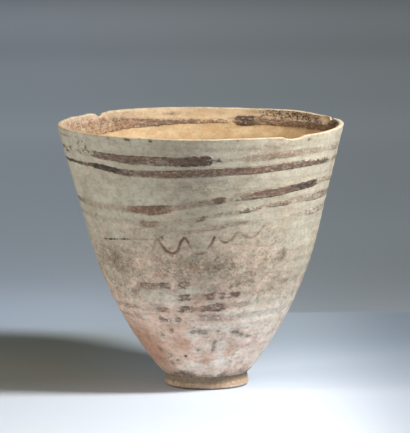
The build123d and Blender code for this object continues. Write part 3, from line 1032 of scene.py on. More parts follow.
class NodeGraph:
    """Short way to write the node tree of one finish."""

    # Sockets of a mix of colours, where names would be those of another kind of mix
    SHARE = 0
    UNDER = 6
    OVER = 7
    MIXED = 2

    def __init__(self, name: str) -> None:
        """Start a material with an empty tree.

        Args:
            name: Name of the material.
        """
        self.material = bpy.data.materials.new(name)
        self.material.use_nodes = True
        self.tree = self.material.node_tree
        self.tree.nodes.clear()
        self.place = self.tree.nodes.new("ShaderNodeTexCoord").outputs["Object"]

    def feed(self, socket: Socket, value: Number | Colour) -> None:
        """Link a socket to another or set its own value.

        Args:
            socket: Socket to feed.
            value: Socket to link, or a number or colour to set.
        """
        if isinstance(value, bpy.types.NodeSocket):
            self.tree.links.new(value, socket)
        elif isinstance(value, tuple):
            socket.default_value = (*value, 1.0)
        else:
            socket.default_value = value

    def layer(self, layer: Layer) -> Socket:
        """Read one layer of the mesh's surface.

        Args:
            layer: Layer to read.

        Returns:
            Its value, from 0 to 1.
        """
        node = self.tree.nodes.new("ShaderNodeAttribute")
        node.attribute_name = layer.value
        return node.outputs["Fac"]

    def math(self, operation: Operation, first: Number, second: Number) -> Socket:
        """Combine two numbers.

        Args:
            operation: What to do with them.
            first: First number.
            second: Second number.

        Returns:
            The result.
        """
        node = self.tree.nodes.new("ShaderNodeMath")
        node.operation = operation.value
        self.feed(node.inputs[0], first)
        self.feed(node.inputs[1], second)
        return node.outputs[0]

    def plus(self, first: Number, second: Number) -> Socket:
        """Sum of two numbers."""
        return self.math(Operation.ADD, first, second)

    def minus(self, first: Number, second: Number) -> Socket:
        """First number less the second."""
        return self.math(Operation.SUBTRACT, first, second)

    def times(self, first: Number, second: Number) -> Socket:
        """Product of two numbers."""
        return self.math(Operation.MULTIPLY, first, second)

    def ratio(self, first: Number, second: Number) -> Socket:
        """First number divided by the second."""
        return self.math(Operation.DIVIDE, first, second)

    def least(self, first: Number, second: Number) -> Socket:
        """Smaller of two numbers."""
        return self.math(Operation.MINIMUM, first, second)

    def most(self, first: Number, second: Number) -> Socket:
        """Larger of two numbers."""
        return self.math(Operation.MAXIMUM, first, second)

    def under(self, first: Number, second: Number) -> Socket:
        """1 where the first number is below the second, or else 0."""
        return self.math(Operation.LESS_THAN, first, second)

    def noise(self, size: float, squash: float = 1.0, detail: float = 3.0, shift: float = 0.0) -> Socket:
        """Noise in the shared frame, from about 0.25 to 0.75.

        Args:
            size: Size of the coarsest grain in millimetres.
            squash: How many times flatter than wide the grain is.
            detail: Number of finer layers.
            shift: Offset that sets one noise apart from another.

        Returns:
            The noise.
        """
        scale = 1.0 / (size * MM)
        mapping = self.tree.nodes.new("ShaderNodeMapping")
        self.feed(mapping.inputs["Vector"], self.place)
        mapping.inputs["Location"].default_value = (shift, shift * 1.7, shift * 0.6)
        mapping.inputs["Scale"].default_value = (scale, scale, scale * squash)
        node = self.tree.nodes.new("ShaderNodeTexNoise")
        self.feed(node.inputs["Vector"], mapping.outputs["Vector"])
        node.inputs["Scale"].default_value = 1.0
        node.inputs["Detail"].default_value = detail
        node.inputs["Roughness"].default_value = 0.6
        return node.outputs[0]

    def height(self, low: float, high: float) -> Socket:
        """Height above the table, eased.

        Args:
            low: Height in millimetres up to which the result is 0.
            high: Height from which it is 1.

        Returns:
            The eased height.
        """
        split = self.tree.nodes.new("ShaderNodeSeparateXYZ")
        self.feed(split.inputs[0], self.place)
        return self.rise(split.outputs[2], low * MM, high * MM)

    def specks(self, spacing: float, radius: float, share: float) -> Socket:
        """Scattered round specks.

        Args:
            spacing: Distance between places for a speck, in millimetres.
            radius: Radius of the largest speck, in millimetres.
            share: Share of the places that has one.

        Returns:
            1 in a speck and 0 outside.
        """
        node = self.tree.nodes.new("ShaderNodeTexVoronoi")
        self.feed(node.inputs["Vector"], self.place)
        node.inputs["Scale"].default_value = 1.0 / (spacing * MM)
        split = self.tree.nodes.new("ShaderNodeSeparateColor")
        self.feed(split.inputs[0], node.outputs["Color"])
        reach = self.times(split.outputs[1], radius / spacing)
        inside = self.under(node.outputs["Distance"], reach)
        chosen = self.under(split.outputs[0], share)
        return self.times(inside, chosen)

    def rise(self, value: Socket, low: float, high: float, start: float = 0.0, end: float = 1.0) -> Socket:
        """Ease a number from one range to another.

        Args:
            value: Number to ease.
            low: Value at which the rise starts.
            high: Value at which it ends.
            start: Result at the low end.
            end: Result at the high end.

        Returns:
            The eased number.
        """
        node = self.tree.nodes.new("ShaderNodeMapRange")
        node.interpolation_type = "SMOOTHSTEP"
        for socket, number in zip(node.inputs[:5], (value, low, high, start, end)):
            self.feed(socket, number)
        return node.outputs[0]

    def mix(self, mode: MixMode, share: Number, under: Tint, over: Tint | Number) -> Socket:
        """Put one colour on another.

        Args:
            mode: How the upper colour acts.
            share: How much of it shows.
            under: Lower colour.
            over: Upper colour.

        Returns:
            The mixed colour.
        """
        node = self.tree.nodes.new("ShaderNodeMix")
        node.data_type = "RGBA"
        node.blend_type = mode.value
        self.feed(node.inputs[self.SHARE], share)
        self.feed(node.inputs[self.UNDER], under)
        self.feed(node.inputs[self.OVER], over)
        return node.outputs[self.MIXED]

    def blend(self, share: Number, under: Tint, over: Tint) -> Socket:
        """Share of one colour laid over another."""
        return self.mix(MixMode.COVER, share, under, over)

    def shade(self, colour: Socket, light: Socket) -> Socket:
        """Colour darkened or brightened by a number or a tint."""
        return self.mix(MixMode.MULTIPLY, 1.0, colour, light)

    def bump(self, height: Socket, depth: float, under: Socket | None = None) -> Socket:
        """Turn a height into a tilt of the surface.

        Args:
            height: Height from 0 to 1.
            depth: Depth of the relief in millimetres.
            under: Relief below this one.

        Returns:
            The tilted normal.
        """
        node = self.tree.nodes.new("ShaderNodeBump")
        node.inputs["Distance"].default_value = depth * MM
        node.inputs["Strength"].default_value = 1.0
        self.feed(node.inputs["Height"], height)
        if under is not None:
            self.feed(node.inputs["Normal"], under)
        return node.outputs[0]

    def finish(self, colour: Socket, roughness: Socket, normal: Socket, gloss: float) -> bpy.types.Material:
        """Close the tree with a shader.

        Args:
            colour: Colour of the surface.
            roughness: Roughness of the surface.
            normal: Normal of the surface.
            gloss: Specular level, the same all over.

        Returns:
            The material.
        """
        shader = self.tree.nodes.new("ShaderNodeBsdfPrincipled")
        self.feed(shader.inputs["Base Color"], colour)
        self.feed(shader.inputs["Roughness"], roughness)
        self.feed(shader.inputs["Normal"], normal)
        shader.inputs["Specular IOR Level"].default_value = gloss
        output = self.tree.nodes.new("ShaderNodeOutputMaterial")
        self.feed(output.inputs["Surface"], shader.outputs[0])
        return self.material


@dataclass(frozen=True)
class PaintedSlip:
    """Matt slip over clay, worn, crusted and brushed with dark paint, with painted shade in its hollows and
    in a few grey veils.
    """

    name: str
    gloss: float
    slip_pale: Colour = srgb(206, 199, 179)
    slip_grey: Colour = srgb(190, 180, 159)
    slip_warm: Colour = srgb(201, 188, 164)
    slip_thin: Colour = srgb(206, 189, 168)
    slip_low: Colour = srgb(248, 237, 222)
    slip_blush: Colour = srgb(243, 224, 207)
    clay_pink: Colour = srgb(232, 199, 178)
    clay_red: Colour = srgb(198, 146, 118)
    inside_pale: Colour = srgb(213, 188, 150)
    inside_deep: Colour = srgb(198, 164, 121)
    veil: Colour = srgb(156, 134, 112)
    crust: Colour = srgb(138, 122, 103)
    paint_red: Colour = srgb(138, 95, 72)
    paint_dark: Colour = srgb(117, 93, 80)
    paint_black: Colour = srgb(60, 51, 48)
    speck: Colour = srgb(80, 65, 54)
    # Near black, for the painted shade in the pits and the open join
    painted_hole_shade: Colour = srgb(24, 19, 16)

    def slip(self, graph: NodeGraph) -> Socket:
        """Colour of the slip, thin and worn to the clay in places.

        Args:
            graph: Tree to write in.

        Returns:
            The colour.
        """
        clouds = graph.noise(26.0)
        mottle = graph.noise(5.0, squash=1.6, shift=33.0)
        colour = graph.blend(graph.rise(clouds, 0.38, 0.64), self.slip_pale, self.slip_grey)
        colour = graph.blend(graph.rise(mottle, 0.4, 0.7, 0.0, 0.45), colour, self.slip_warm)
        high = graph.height(30.0, 82.0)
        colour = graph.blend(high, self.slip_low, colour)
        bare = graph.layer(Layer.WEAR_AND_HIGHLIGHT)
        blotches = graph.noise(11.0, squash=1.3, shift=8.0)
        thin = graph.plus(bare, graph.rise(blotches, 0.3, 0.7, -0.25, 0.25))
        washed = graph.blend(high, self.slip_blush, self.slip_thin)
        colour = graph.blend(graph.rise(thin, 0.05, 0.6, 0.0, 0.9), colour, washed)
        patches = graph.noise(9.0, squash=1.2, shift=16.0)
        worn = graph.minus(graph.times(bare, 0.92), patches)
        clay = graph.blend(graph.rise(bare, 0.6, 1.0), self.clay_pink, self.clay_red)
        shown = graph.times(graph.rise(worn, -0.1, 0.11), graph.rise(high, 0.0, 1.0, 0.85, 0.5))
        return graph.blend(shown, colour, clay)

    def ground(self, graph: NodeGraph) -> Socket:
        """Colour of slip, clay and crust before the paint.

        Args:
            graph: Tree to write in.

        Returns:
            The colour.
        """
        grain = graph.noise(12.0, squash=1.5, detail=5.0, shift=6.0)
        ochre = graph.blend(graph.rise(grain, 0.34, 0.68), self.inside_pale, self.inside_deep)
        colour = graph.blend(graph.layer(Layer.INSIDE), self.slip(graph), ochre)
        # The layer carries grime and painted shade, which come out as veil and crust
        grime_and_shade = graph.layer(Layer.GRIME_AND_SHADE)
        smears = graph.rise(graph.noise(7.0, squash=1.4, detail=5.0, shift=60.0), 0.42, 0.58, 0.05, 1.0)
        veil = graph.times(graph.times(grime_and_shade, smears), 0.9)
        colour = graph.blend(veil, colour, self.veil)
        scabs = graph.noise(1.8, squash=1.3, detail=5.0, shift=12.0)
        crust = graph.minus(graph.times(grime_and_shade, 0.8), scabs)
        colour = graph.blend(graph.rise(crust, -0.12, 0.12, 0.0, 0.62), colour, self.crust)
        dust = graph.rise(graph.noise(2.2, squash=1.4, detail=5.0, shift=70.0), 0.5, 0.72, 0.0, 0.2)
        colour = graph.blend(dust, colour, self.veil)
        grit = graph.plus(graph.noise(1.4, detail=2.0, shift=95.0), graph.times(grime_and_shade, 0.2))
        specks = graph.most(graph.specks(6.5, 0.5, 0.25), graph.rise(grit, 0.72, 0.8))
        return graph.blend(graph.times(specks, 0.6), colour, self.speck)

    def paint_share(self, graph: NodeGraph) -> Socket:
        """How much of the paint shows, thin and streaky where it is worn.

        Args:
            graph: Tree to write in.

        Returns:
            The share from 0 to 1.
        """
        streaks = graph.noise(4.4, squash=2.6, detail=6.0, shift=20.0)
        pores = graph.noise(1.5, squash=1.4, detail=4.0, shift=26.0)
        wear = graph.plus(graph.times(streaks, 0.5), graph.times(pores, 0.5))
        wear = graph.rise(wear, 0.4, 0.6)
        left = graph.layer(Layer.PAINT)
        thick = graph.layer(Layer.TONE)
        rubbed = graph.times(wear, graph.rise(left, 0.2, 0.6, 0.2, 0.62))
        rubbed = graph.times(rubbed, graph.rise(thick, 0.05, 0.35, 0.5, 1.0))
        shown = graph.minus(graph.times(left, 1.3), rubbed)
        flakes = graph.rise(graph.noise(1.9, squash=1.5, detail=4.0, shift=36.0), 0.56, 0.64, 0.0, 0.28)
        shown = graph.minus(shown, flakes)
        shown = graph.least(graph.most(shown, 0.0), 0.97)
        flecked = graph.rise(shown, 0.2, 0.64, 0.0, 0.97)
        crisp = graph.rise(thick, 0.4, 0.85)
        calm = graph.times(shown, graph.minus(1.0, crisp))
        return graph.plus(calm, graph.times(flecked, crisp))

    def material(self) -> bpy.types.Material:
        """Write the node tree.

        Returns:
            The material.
        """
        graph = NodeGraph(self.name)
        mottle = graph.noise(4.2, squash=2.0, detail=4.0, shift=31.0)
        tone = graph.plus(graph.layer(Layer.TONE), graph.rise(mottle, 0.3, 0.7, -0.24, 0.24))
        paint = graph.blend(graph.rise(tone, -0.1, 0.6), self.paint_red, self.paint_dark)
        paint = graph.blend(graph.rise(tone, 0.55, 1.1), paint, self.paint_black)
        colour = graph.blend(self.paint_share(graph), self.ground(graph), paint)
        fine = graph.rise(graph.noise(2.2, squash=1.2, detail=5.0, shift=80.0), 0.34, 0.54, -1.0, 0.3)
        broad = graph.rise(graph.noise(6.5, squash=1.4, detail=4.0, shift=90.0), 0.32, 0.68, -0.65, 0.55)
        coarse = graph.rise(graph.layer(Layer.WEAR_AND_HIGHLIGHT), 0.1, 0.5, 0.13, 0.2)
        outside = graph.rise(graph.layer(Layer.INSIDE), 0.2, 0.8, 1.0, 0.0)
        upper = graph.least(graph.height(12.0, 75.0), outside)
        coarse = graph.times(coarse, graph.rise(upper, 0.0, 1.0, 0.78, 1.1))
        grain = graph.times(graph.plus(fine, broad), coarse)
        brushed = graph.rise(graph.noise(18.0, squash=9.0, detail=3.0, shift=47.0), 0.35, 0.65, 0.965, 1.035)
        colour = graph.shade(colour, graph.plus(brushed, grain))
        # Painted shade in the pits and the open join
        colour = graph.blend(graph.layer(Layer.HOLLOW_SHADE), colour, self.painted_hole_shade)
        grit = graph.bump(graph.noise(0.9, detail=3.0, shift=40.0), 0.1)
        combed = graph.bump(graph.noise(7.0, squash=6.0, detail=3.0, shift=44.0), 0.12, grit)
        pitted = graph.bump(graph.specks(5.0, 0.45, 0.3), -0.2, combed)
        dull = graph.rise(graph.noise(5.0, shift=50.0), 0.3, 0.7, 0.72, 0.92)
        return graph.finish(colour, dull, pitted, self.gloss)


@dataclass(frozen=True)
class FootClay:
    """Bare clay of the foot, rubbed at the edge with a painted highlight towards the key light, dirty under
    the bowl and with a painted contact shadow at the table.
    """

    name: str = "bare_foot_clay"
    gloss: float = 0.2
    tan: Colour = srgb(210, 184, 155)
    orange: Colour = srgb(200, 166, 138)
    cream: Colour = srgb(226, 210, 190)
    dirt: Colour = srgb(150, 133, 113)
    # Also the colour of the painted contact shadow along the table
    speck: Colour = srgb(70, 56, 48)

    def material(self) -> bpy.types.Material:
        """Write the node tree.

        Returns:
            The material.
        """
        graph = NodeGraph(self.name)
        clouds = graph.noise(9.0, squash=1.6, detail=4.0)
        colour = graph.blend(graph.rise(clouds, 0.38, 0.64), self.tan, self.orange)
        # Pale rubbed edge, with a painted highlight towards the key light
        cream = graph.minus(graph.layer(Layer.WEAR_AND_HIGHLIGHT), graph.noise(6.0, detail=4.0, shift=4.0))
        colour = graph.blend(graph.rise(cream, -0.1, 0.3), colour, self.cream)
        scabs = graph.noise(2.6, squash=1.3, detail=5.0, shift=9.0)
        dirt = graph.minus(graph.layer(Layer.GRIME_AND_SHADE), scabs)
        colour = graph.blend(graph.rise(dirt, -0.24, 0.24, 0.0, 0.85), colour, self.dirt)
        fine = graph.rise(graph.noise(2.0, squash=1.3, detail=5.0, shift=80.0), 0.3, 0.7, 0.78, 1.14)
        colour = graph.shade(colour, fine)
        # Dark specks, and the painted contact shadow along the table
        dark = graph.most(graph.specks(3.5, 0.4, 0.35), graph.layer(Layer.HOLLOW_SHADE))
        colour = graph.blend(graph.times(dark, 0.75), colour, self.speck)
        grit = graph.bump(graph.noise(0.8, detail=3.0, shift=14.0), 0.14)
        scored = graph.bump(graph.noise(5.0, squash=6.0, detail=3.0, shift=18.0), 0.3, grit)
        dull = graph.rise(graph.noise(4.0, shift=22.0), 0.3, 0.7, 0.75, 0.95)
        return graph.finish(colour, dull, scored, self.gloss)


@dataclass
class Surface:
    """Grid of points that becomes a mesh, rows along a profile and columns around the cup."""

    points: Array  # (rows, columns, 3), millimetres
    layers: dict[Layer, Array]
    ring: bool = True  # the columns close around the cup
    loop: bool = False  # the rows close on themselves
    tips: tuple[Array | None, Array | None] = (None, None)  # points that close the first and last row

    def faces(self) -> tuple[Array, Array]:
        """Join the points of the grid.

        Returns:
            The four vertex numbers of each quad, and the row and column where it starts.
        """
        rows, columns = self.points.shape[:2]
        row, column = np.meshgrid(
            np.arange(rows if self.loop else rows - 1),
            np.arange(columns if self.ring else columns - 1),
            indexing="ij",
        )
        next_row, next_column = (row + 1) % rows, (column + 1) % columns
        corners = ((row, column), (row, next_column), (next_row, next_column), (next_row, column))
        quads = np.stack([r * columns + c for r, c in corners], axis=-1)
        return quads.reshape(-1, 4), np.stack((row, column), axis=-1).reshape(-1, 2)

    def mesh(self, name: str, keep: Array | None = None) -> bpy.types.Object:
        """Make the mesh, its surface layers and its unwrapping.

        Args:
            name: Name of the piece.
            keep: Share of the surface that is there at each point, where it is not whole.

        Returns:
            The piece, linked to the scene.
        """
        rows, columns = self.points.shape[:2]
        quads, starts = self.faces()
        if keep is not None:
            left = keep.reshape(-1)[quads].mean(axis=1) > 0.5
            quads, starts = quads[left], starts[left]
        points = self.points.reshape(-1, 3)
        faces = quads.tolist()
        steps = np.array(((0, 0), (0, 1), (1, 1), (1, 0)))
        unwrapped = ((starts[:, None, :] + steps) / (rows, columns))[..., ::-1].reshape(-1, 2)
        values = {layer: value.reshape(-1) for layer, value in self.layers.items()}
        column = np.arange(columns)
        for tip, row in zip(self.tips, (0, rows - 1)):
            if tip is None:
                continue
            here, there = row * columns + column, row * columns + (column + 1) % columns
            top = np.full(columns, len(points))
            fan = np.stack((there, here, top) if row == 0 else (here, there, top), axis=-1)
            faces += fan.tolist()
            spread = np.stack((column, column + 1, column + 0.5), axis=-1) / columns
            spread = spread[:, (1, 0, 2)] if row == 0 else spread
            edge = np.full(spread.shape, row / rows)
            unwrapped = np.concatenate((unwrapped, np.stack((spread, edge), axis=-1).reshape(-1, 2)))
            points = np.concatenate((points, tip[None]))
            values = {layer: np.append(v, v[row * columns]) for layer, v in values.items()}
        mesh = bpy.data.meshes.new(name)
        mesh.from_pydata((points * MM).tolist(), [], faces)
        mesh.shade_smooth()
        mesh.uv_layers.new(name="OFBake").uv.foreach_set("vector", unwrapped.astype(np.float32).ravel())
        for layer, value in values.items():
            attribute = mesh.attributes.new(layer.value, "FLOAT", "POINT")
            attribute.data.foreach_set("value", value.astype(np.float32))
        if keep is not None:
            drop_points(mesh, np.setdiff1d(np.arange(len(points)), quads.reshape(-1)))
        piece = bpy.data.objects.new(name, mesh)
        bpy.context.scene.collection.objects.link(piece)
        return piece


def drop_points(mesh: bpy.types.Mesh, numbers: Array) -> None:
    """Take points that no face uses out of a mesh.

    Args:
        mesh: Mesh to clean.
        numbers: Numbers of the points to drop.
    """
    cleaner = bmesh.new()
    cleaner.from_mesh(mesh)
    cleaner.verts.ensure_lookup_table()
    bmesh.ops.delete(cleaner, geom=[cleaner.verts[i] for i in numbers], context="VERTS")
    cleaner.to_mesh(mesh)
    cleaner.free()


def dress(piece: bpy.types.Object, material: bpy.types.Material, node: str) -> bpy.types.Object:
    """Give a piece its finish and let it stand for its solid.

    Args:
        piece: Piece to dress.
        material: Finish of the piece.
        node: Solid that the piece stands for.

    Returns:
        The same piece.
    """
    piece.data.materials.append(material)
    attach(piece, "root")
    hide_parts(node)
    LOG.info("%s stands for %s with %d faces", piece.name, node, len(piece.data.polygons))
    return piece


def graded(start: float, end: float, step: float, fine: float) -> Array:
    """Numbers from 0 to 1 that space out a stretch, closer together at both ends.

    Args:
        start: Start of the stretch in millimetres.
        end: End of the stretch in millimetres.
        step: Usual step in millimetres.
        fine: Step at the ends in millimetres.

    Returns:
        The shares, from 0 to 1.
    """
    length = abs(end - start)
    even = np.linspace(0.0, 1.0, max(int(length / step), 8))
    ends = np.arange(1, 5) * fine / length
    return np.unique(np.concatenate((even, ends, 1.0 - ends)))


@dataclass
class UpperWall:
    """Flaring upper wall with its worn lip and the upper face of the join."""

    shape: BodyShape
    skin: Skin
    columns: int = 720
    step: float = 0.8
    fine: float = 0.22  # step at the ends of the outside
    inner_step: float = 1.12
    inner_fine: float = 0.4
    lip_rows: int = 7
    lip_side: float = 0.25  # how much of the inside the inner edge of the lip shows
    join_rows: int = 3

    def profile(self) -> tuple[Array, Array, Array, Array]:
        """Loop around the section, up the outside, over the lip, down the inside and along the join.

        Returns:
            Bearings, levels, radii and the inside share, each as (rows, columns).
        """
        shape = self.shape
        bearing = full_turn(self.columns)
        foot = shape.join_level(bearing)
        brow = shape.lip_level(bearing) - shape.lip_round
        outside = graded(shape.join, shape.crown, self.step, self.fine)[:, None]
        outer_level = foot + (brow - foot) * outside
        outer_radius = shape.outer(bearing, outer_level)
        inside = graded(shape.crown, shape.join + shape.join_rise, self.inner_step, self.inner_fine)[:, None]
        inner_level = brow + (foot + shape.join_rise - brow) * inside
        inner_radius = shape.inner(bearing, inner_level)
        turn = np.linspace(0.0, math.pi, self.lip_rows + 2)[1:-1, None]
        middle = (outer_radius[-1] + inner_radius[0]) / 2.0
        half = (outer_radius[-1] - inner_radius[0]) / 2.0
        cap_level = brow + shape.lip_round * np.sin(turn)
        cap_radius = middle + half * np.cos(turn)
        cap_side = np.linspace(0.0, self.lip_side, self.lip_rows)[:, None]
        join_level = between(inner_level[-1], outer_level[0], self.join_rows)
        join_radius = between(inner_radius[-1], outer_radius[0], self.join_rows)
        levels = np.concatenate((outer_level, cap_level, inner_level, join_level))
        radii = np.concatenate((outer_radius, cap_radius, inner_radius, join_radius))
        sides = np.concatenate((
            np.zeros(outer_level.shape),
            np.broadcast_to(cap_side, cap_level.shape),
            np.ones(inner_level.shape),
            np.full(join_level.shape, 0.5),
        ))
        return np.broadcast_to(bearing, levels.shape), levels, radii, sides

    def build(self, finish: bpy.types.Material) -> bpy.types.Object:
        """Make and dress the upper wall.

        Args:
            finish: Finish of the wall.

        Returns:
            The piece.
        """
        bearing, level, radius, side = self.profile()
        points = self.shape.place(bearing, level, radius)
        surface = Surface(points, self.skin.layers(bearing, level, side), loop=True)
        return dress(surface.mesh("flaring_wall"), finish, "upper_wall")


@dataclass
class LowerBowl:
    """Rounded bowl with its floor, its seat and the lower face of the join."""

    shape: BodyShape
    skin: Skin
    columns: int = 640
    step: float = 0.85
    neck_radius: float = 25.9  # where the bowl draws in above the foot
    neck_rise: float = 6.0
    fine: float = 0.22  # step at the ends of the outside
    inner_step: float = 1.36
    inner_fine: float = 0.4
    seat_rows: int = 8
    join_rows: int = 3
    floor_rows: int = 45
    floor_pull: float = 22.0  # how far the inside runs on before it bends to the floor
    floor_flat: float = 18.0  # radius inside which the floor is nearly flat
    hub: float = 0.4  # radius of the first ring around a middle

    def seat_draw(self, level: Array) -> Array:
        """How far the lowest few millimetres draw in towards the foot.

        Args:
            level: Levels of the points.

        Returns:
            The distance at each point.
        """
        depth = self.shape.seat_radius - self.neck_radius
        share = np.clip(1.0 - level / self.neck_rise, 0.0, 1.0)
        return depth * share**2

    def floor_curve(self) -> tuple[Array, Array]:
        """Draw the inside from where it turns in, down to the middle of the floor.

        Returns:
            Radii and levels, each as one column.
        """
        shape = self.shape
        start = np.array((shape.plain_inner(np.array(shape.floor_start)), shape.floor_start))
        drop = 0.5
        slope = shape.plain_inner(np.array(shape.floor_start - drop)) - start[0]
        heading = np.array((slope, -drop)) / math.hypot(slope, drop)
        bend = start + self.floor_pull * heading
        knots = (start, bend, np.array((self.floor_flat, shape.floor)), np.array((self.hub, shape.floor)))
        share = np.linspace(0.0, 1.0, self.floor_rows + 1)[1:, None]
        weights = ((1 - share) ** 3, 3 * share * (1 - share) ** 2, 3 * share**2 * (1 - share), share**3)
        curve = sum(weight * knot for weight, knot in zip(weights, knots))
        return curve[:, :1], curve[:, 1:]

    def build(self, finish: bpy.types.Material) -> bpy.types.Object:
        """Make and dress the bowl.

        Args:
            finish: Finish of the bowl.

        Returns:
            The piece.
        """
        shape = self.shape
        bearing = full_turn(self.columns)
        top = shape.join_level(bearing)
        seat = np.linspace(self.hub, self.neck_radius - self.hub, self.seat_rows)[:, None]
        seat_radius = np.broadcast_to(seat, (self.seat_rows, self.columns))
        outer_level = top * graded(0.0, shape.join, self.step, self.fine)[:, None]
        outer_radius = shape.outer(bearing, outer_level) - self.seat_draw(outer_level)
        inner_top = top + shape.join_rise
        inside = graded(shape.join + shape.join_rise, shape.floor_start, self.inner_step, self.inner_fine)
        inner_level = inner_top + (shape.floor_start - inner_top) * inside[:, None]
        inner_radius = shape.inner(bearing, inner_level)
        join_level = between(outer_level[-1], inner_level[0], self.join_rows)
        join_radius = between(outer_radius[-1], inner_radius[0], self.join_rows)
        floor_radius, floor_level = self.floor_curve()
        fade = np.linspace(1.0, 0.0, self.floor_rows)[:, None]
        marks = shape.wheel_marks(bearing, floor_level + 0.4 * floor_radius) * fade
        floor_radius = np.broadcast_to(floor_radius, marks.shape)
        seat_level = np.zeros(seat_radius.shape)
        levels = np.concatenate((seat_level, outer_level, join_level, inner_level, floor_level + marks))
        radii = np.concatenate((seat_radius, outer_radius, join_radius, inner_radius, floor_radius))
        sides = np.concatenate((
            np.zeros(seat_level.shape),
            np.zeros(outer_level.shape),
            np.full(join_level.shape, 0.5),
            np.ones(inner_level.shape),
            np.ones(marks.shape),
        ))
        bearings = np.broadcast_to(bearing, levels.shape)
        axis = np.array(0.0)
        surface = Surface(
            shape.place(bearings, levels, radii),
            self.skin.layers(bearings, levels, sides),
            tips=(shape.place(axis, axis, axis), shape.place(axis, np.array(shape.floor), axis)),
        )
        return dress(surface.mesh("rounded_bowl"), finish, "lower_bowl")


@dataclass
class FootDisc:
    """Low disc under the bowl, cut off the wheel with a string."""

    shape: BodyShape
    table_radius: float = 24.4
    bulge_radius: float = 26.3
    top_radius: float = 25.7
    columns: int = 360
    under_rows: int = 24
    side_rows: int = 25
    top_rows: int = 10
    hub: float = 0.3  # radius of the first ring around a middle
    hollow: float = 0.5  # how far the middle of the underside stands off the table
    bulge_height: float = 0.2  # share of the height below the widest place
    roughness: float = 0.22
    rough_size: float = 9.0
    string_middle: Span = (9.0, -24.0)  # about which the string marks bend
    string_turn: float = 2.4  # radians of their waves to a millimetre
    string_depth: float = 0.12
    string_end: Span = (18.0, 23.0)  # radii over which they fade out
    dirt_start: Span = (2.2, 6.0)  # heights over which dirt gathers under the bowl
    rub_and_highlight_end: Span = (1.0, 4.5)  # heights over which the rubbed edge, painted paler towards the key light, ends
    contact_shade_height: float = 0.9  # of the painted contact shadow at the table
    grain: Grain = Grain(37)

    def profile(self) -> tuple[Array, Array]:
        """Draw the section from the middle of the underside to the middle of the top.

        Returns:
            Radii and heights, each as one column.
        """
        under = np.linspace(self.hub, self.table_radius, self.under_rows)
        height = self.shape.foot_height
        side = np.linspace(0.0, 1.0, self.side_rows + 1)[1:]
        swell = np.sqrt(np.minimum(side / self.bulge_height, 1.0))
        edge = self.table_radius + (self.bulge_radius - self.table_radius) * swell
        draw = (self.bulge_radius - self.top_radius) * ease(side, 0.3, 0.85)
        over = np.linspace(self.top_radius - 0.6, self.hub, self.top_rows)
        radii = np.concatenate((under, edge - draw, over))
        raised = self.hollow * (1.0 - ease(under, 6.0, self.table_radius - 4.0))
        heights = np.concatenate((raised, side * height, np.full(over.shape, height)))
        return radii[:, None], heights[:, None]

    def build(self, finish: bpy.types.Material) -> bpy.types.Object:
        """Make and dress the foot.

        Args:
            finish: Finish of the foot.

        Returns:
            The piece.
        """
        radius, height = self.profile()
        turn = np.radians(full_turn(self.columns))
        x, y = radius * np.cos(turn), radius * np.sin(turn)
        points = np.stack((x, y, np.broadcast_to(height, x.shape)), axis=-1)
        outer = ease(radius, self.table_radius - 3.0, self.table_radius)
        rough = self.roughness * self.grain.at(points / self.rough_size, 3) * outer
        arcs = np.hypot(x - self.string_middle[0], y - self.string_middle[1])
        underside = (1.0 - ease(radius, *self.string_end)) * (height < 1.0)
        scored = self.string_depth * np.sin(arcs * self.string_turn) * underside
        top_tilt = x * math.tan(self.shape.lean) * (height / self.shape.foot_height)
        points[..., 0] = (radius + rough) * np.cos(turn)
        points[..., 1] = (radius + rough) * np.sin(turn)
        points[..., 2] = np.maximum(height + scored + top_tilt, 0.0)
        dirty = ease(height, *self.dirt_start) * (0.64 + 0.2 * np.cos(turn + 2.0)) + 0.08
        # Rubbed pale edge, strongest towards the key light as a painted highlight
        rubbed = (1.0 - ease(height, *self.rub_and_highlight_end)) * (0.35 + 0.4 * np.cos(turn + 0.6))
        # Painted contact shadow, a dark ring along the table
        contact_shade = bell(height, self.contact_shade_height) * (radius > self.table_radius - 0.6)
        layers = {
            Layer.GRIME_AND_SHADE: np.clip(dirty, 0.0, 1.0),
            Layer.WEAR_AND_HIGHLIGHT: np.clip(rubbed, 0.0, 1.0),
            Layer.HOLLOW_SHADE: np.clip(np.broadcast_to(contact_shade, dirty.shape), 0.0, 1.0),
        }
        tips = (np.array((0.0, 0.0, self.hollow)), np.array((0.0, 0.0, self.shape.foot_height)))
        surface = Surface(points, layers, tips=tips)
        return dress(surface.mesh("foot_ring"), finish, "foot_disc")


@dataclass
class Film:
    """Paint that is left of one stroke, as a thin flaked skin on the wall."""

    name: str
    node: str
    stroke: BandStroke | LineStroke
    skin: Skin
    least: float = 0.45  # share of paint below which the skin has flaked off
    rise: float = 0.3  # share of paint over which it comes up from its edge
    stand_off: float = 0.16
    sunk_edge: float = 0.4  # how far an edge goes below the wall, as a share of the stand-off
    thickness: float = 0.08
    inside: bool = False

    def lay(self, bearing: Array, level: Array, ring: bool, finish: bpy.types.Material) -> bpy.types.Object:
        """Make and dress the film, without what has flaked off.

        Args:
            bearing: Bearings of the film before it flaked, as (rows, columns).
            level: Its levels.
            ring: Whether it goes all the way around.
            finish: Finish of the paint.

        Returns:
            The piece.
        """
        shape = self.skin.shape
        layers = self.skin.layers(bearing, level, np.full(level.shape, float(self.inside)))
        amount, _ = self.stroke.cover(bearing, level)
        raised = ease(amount, self.least, self.least + self.rise)
        lift = self.stand_off * ((1.0 + self.sunk_edge) * raised - self.sunk_edge)
        radius = shape.inner(bearing, level) - lift if self.inside else shape.outer(bearing, level) + lift
        surface = Surface(shape.place(bearing, level, radius), layers, ring=ring)
        piece = surface.mesh(self.name, keep=np.where(amount > self.least, 1.0, 0.0))
        film = piece.modifiers.new("film", "SOLIDIFY")
        film.thickness = self.thickness * MM
        film.offset = -1.0
        return dress(piece, finish, self.node)


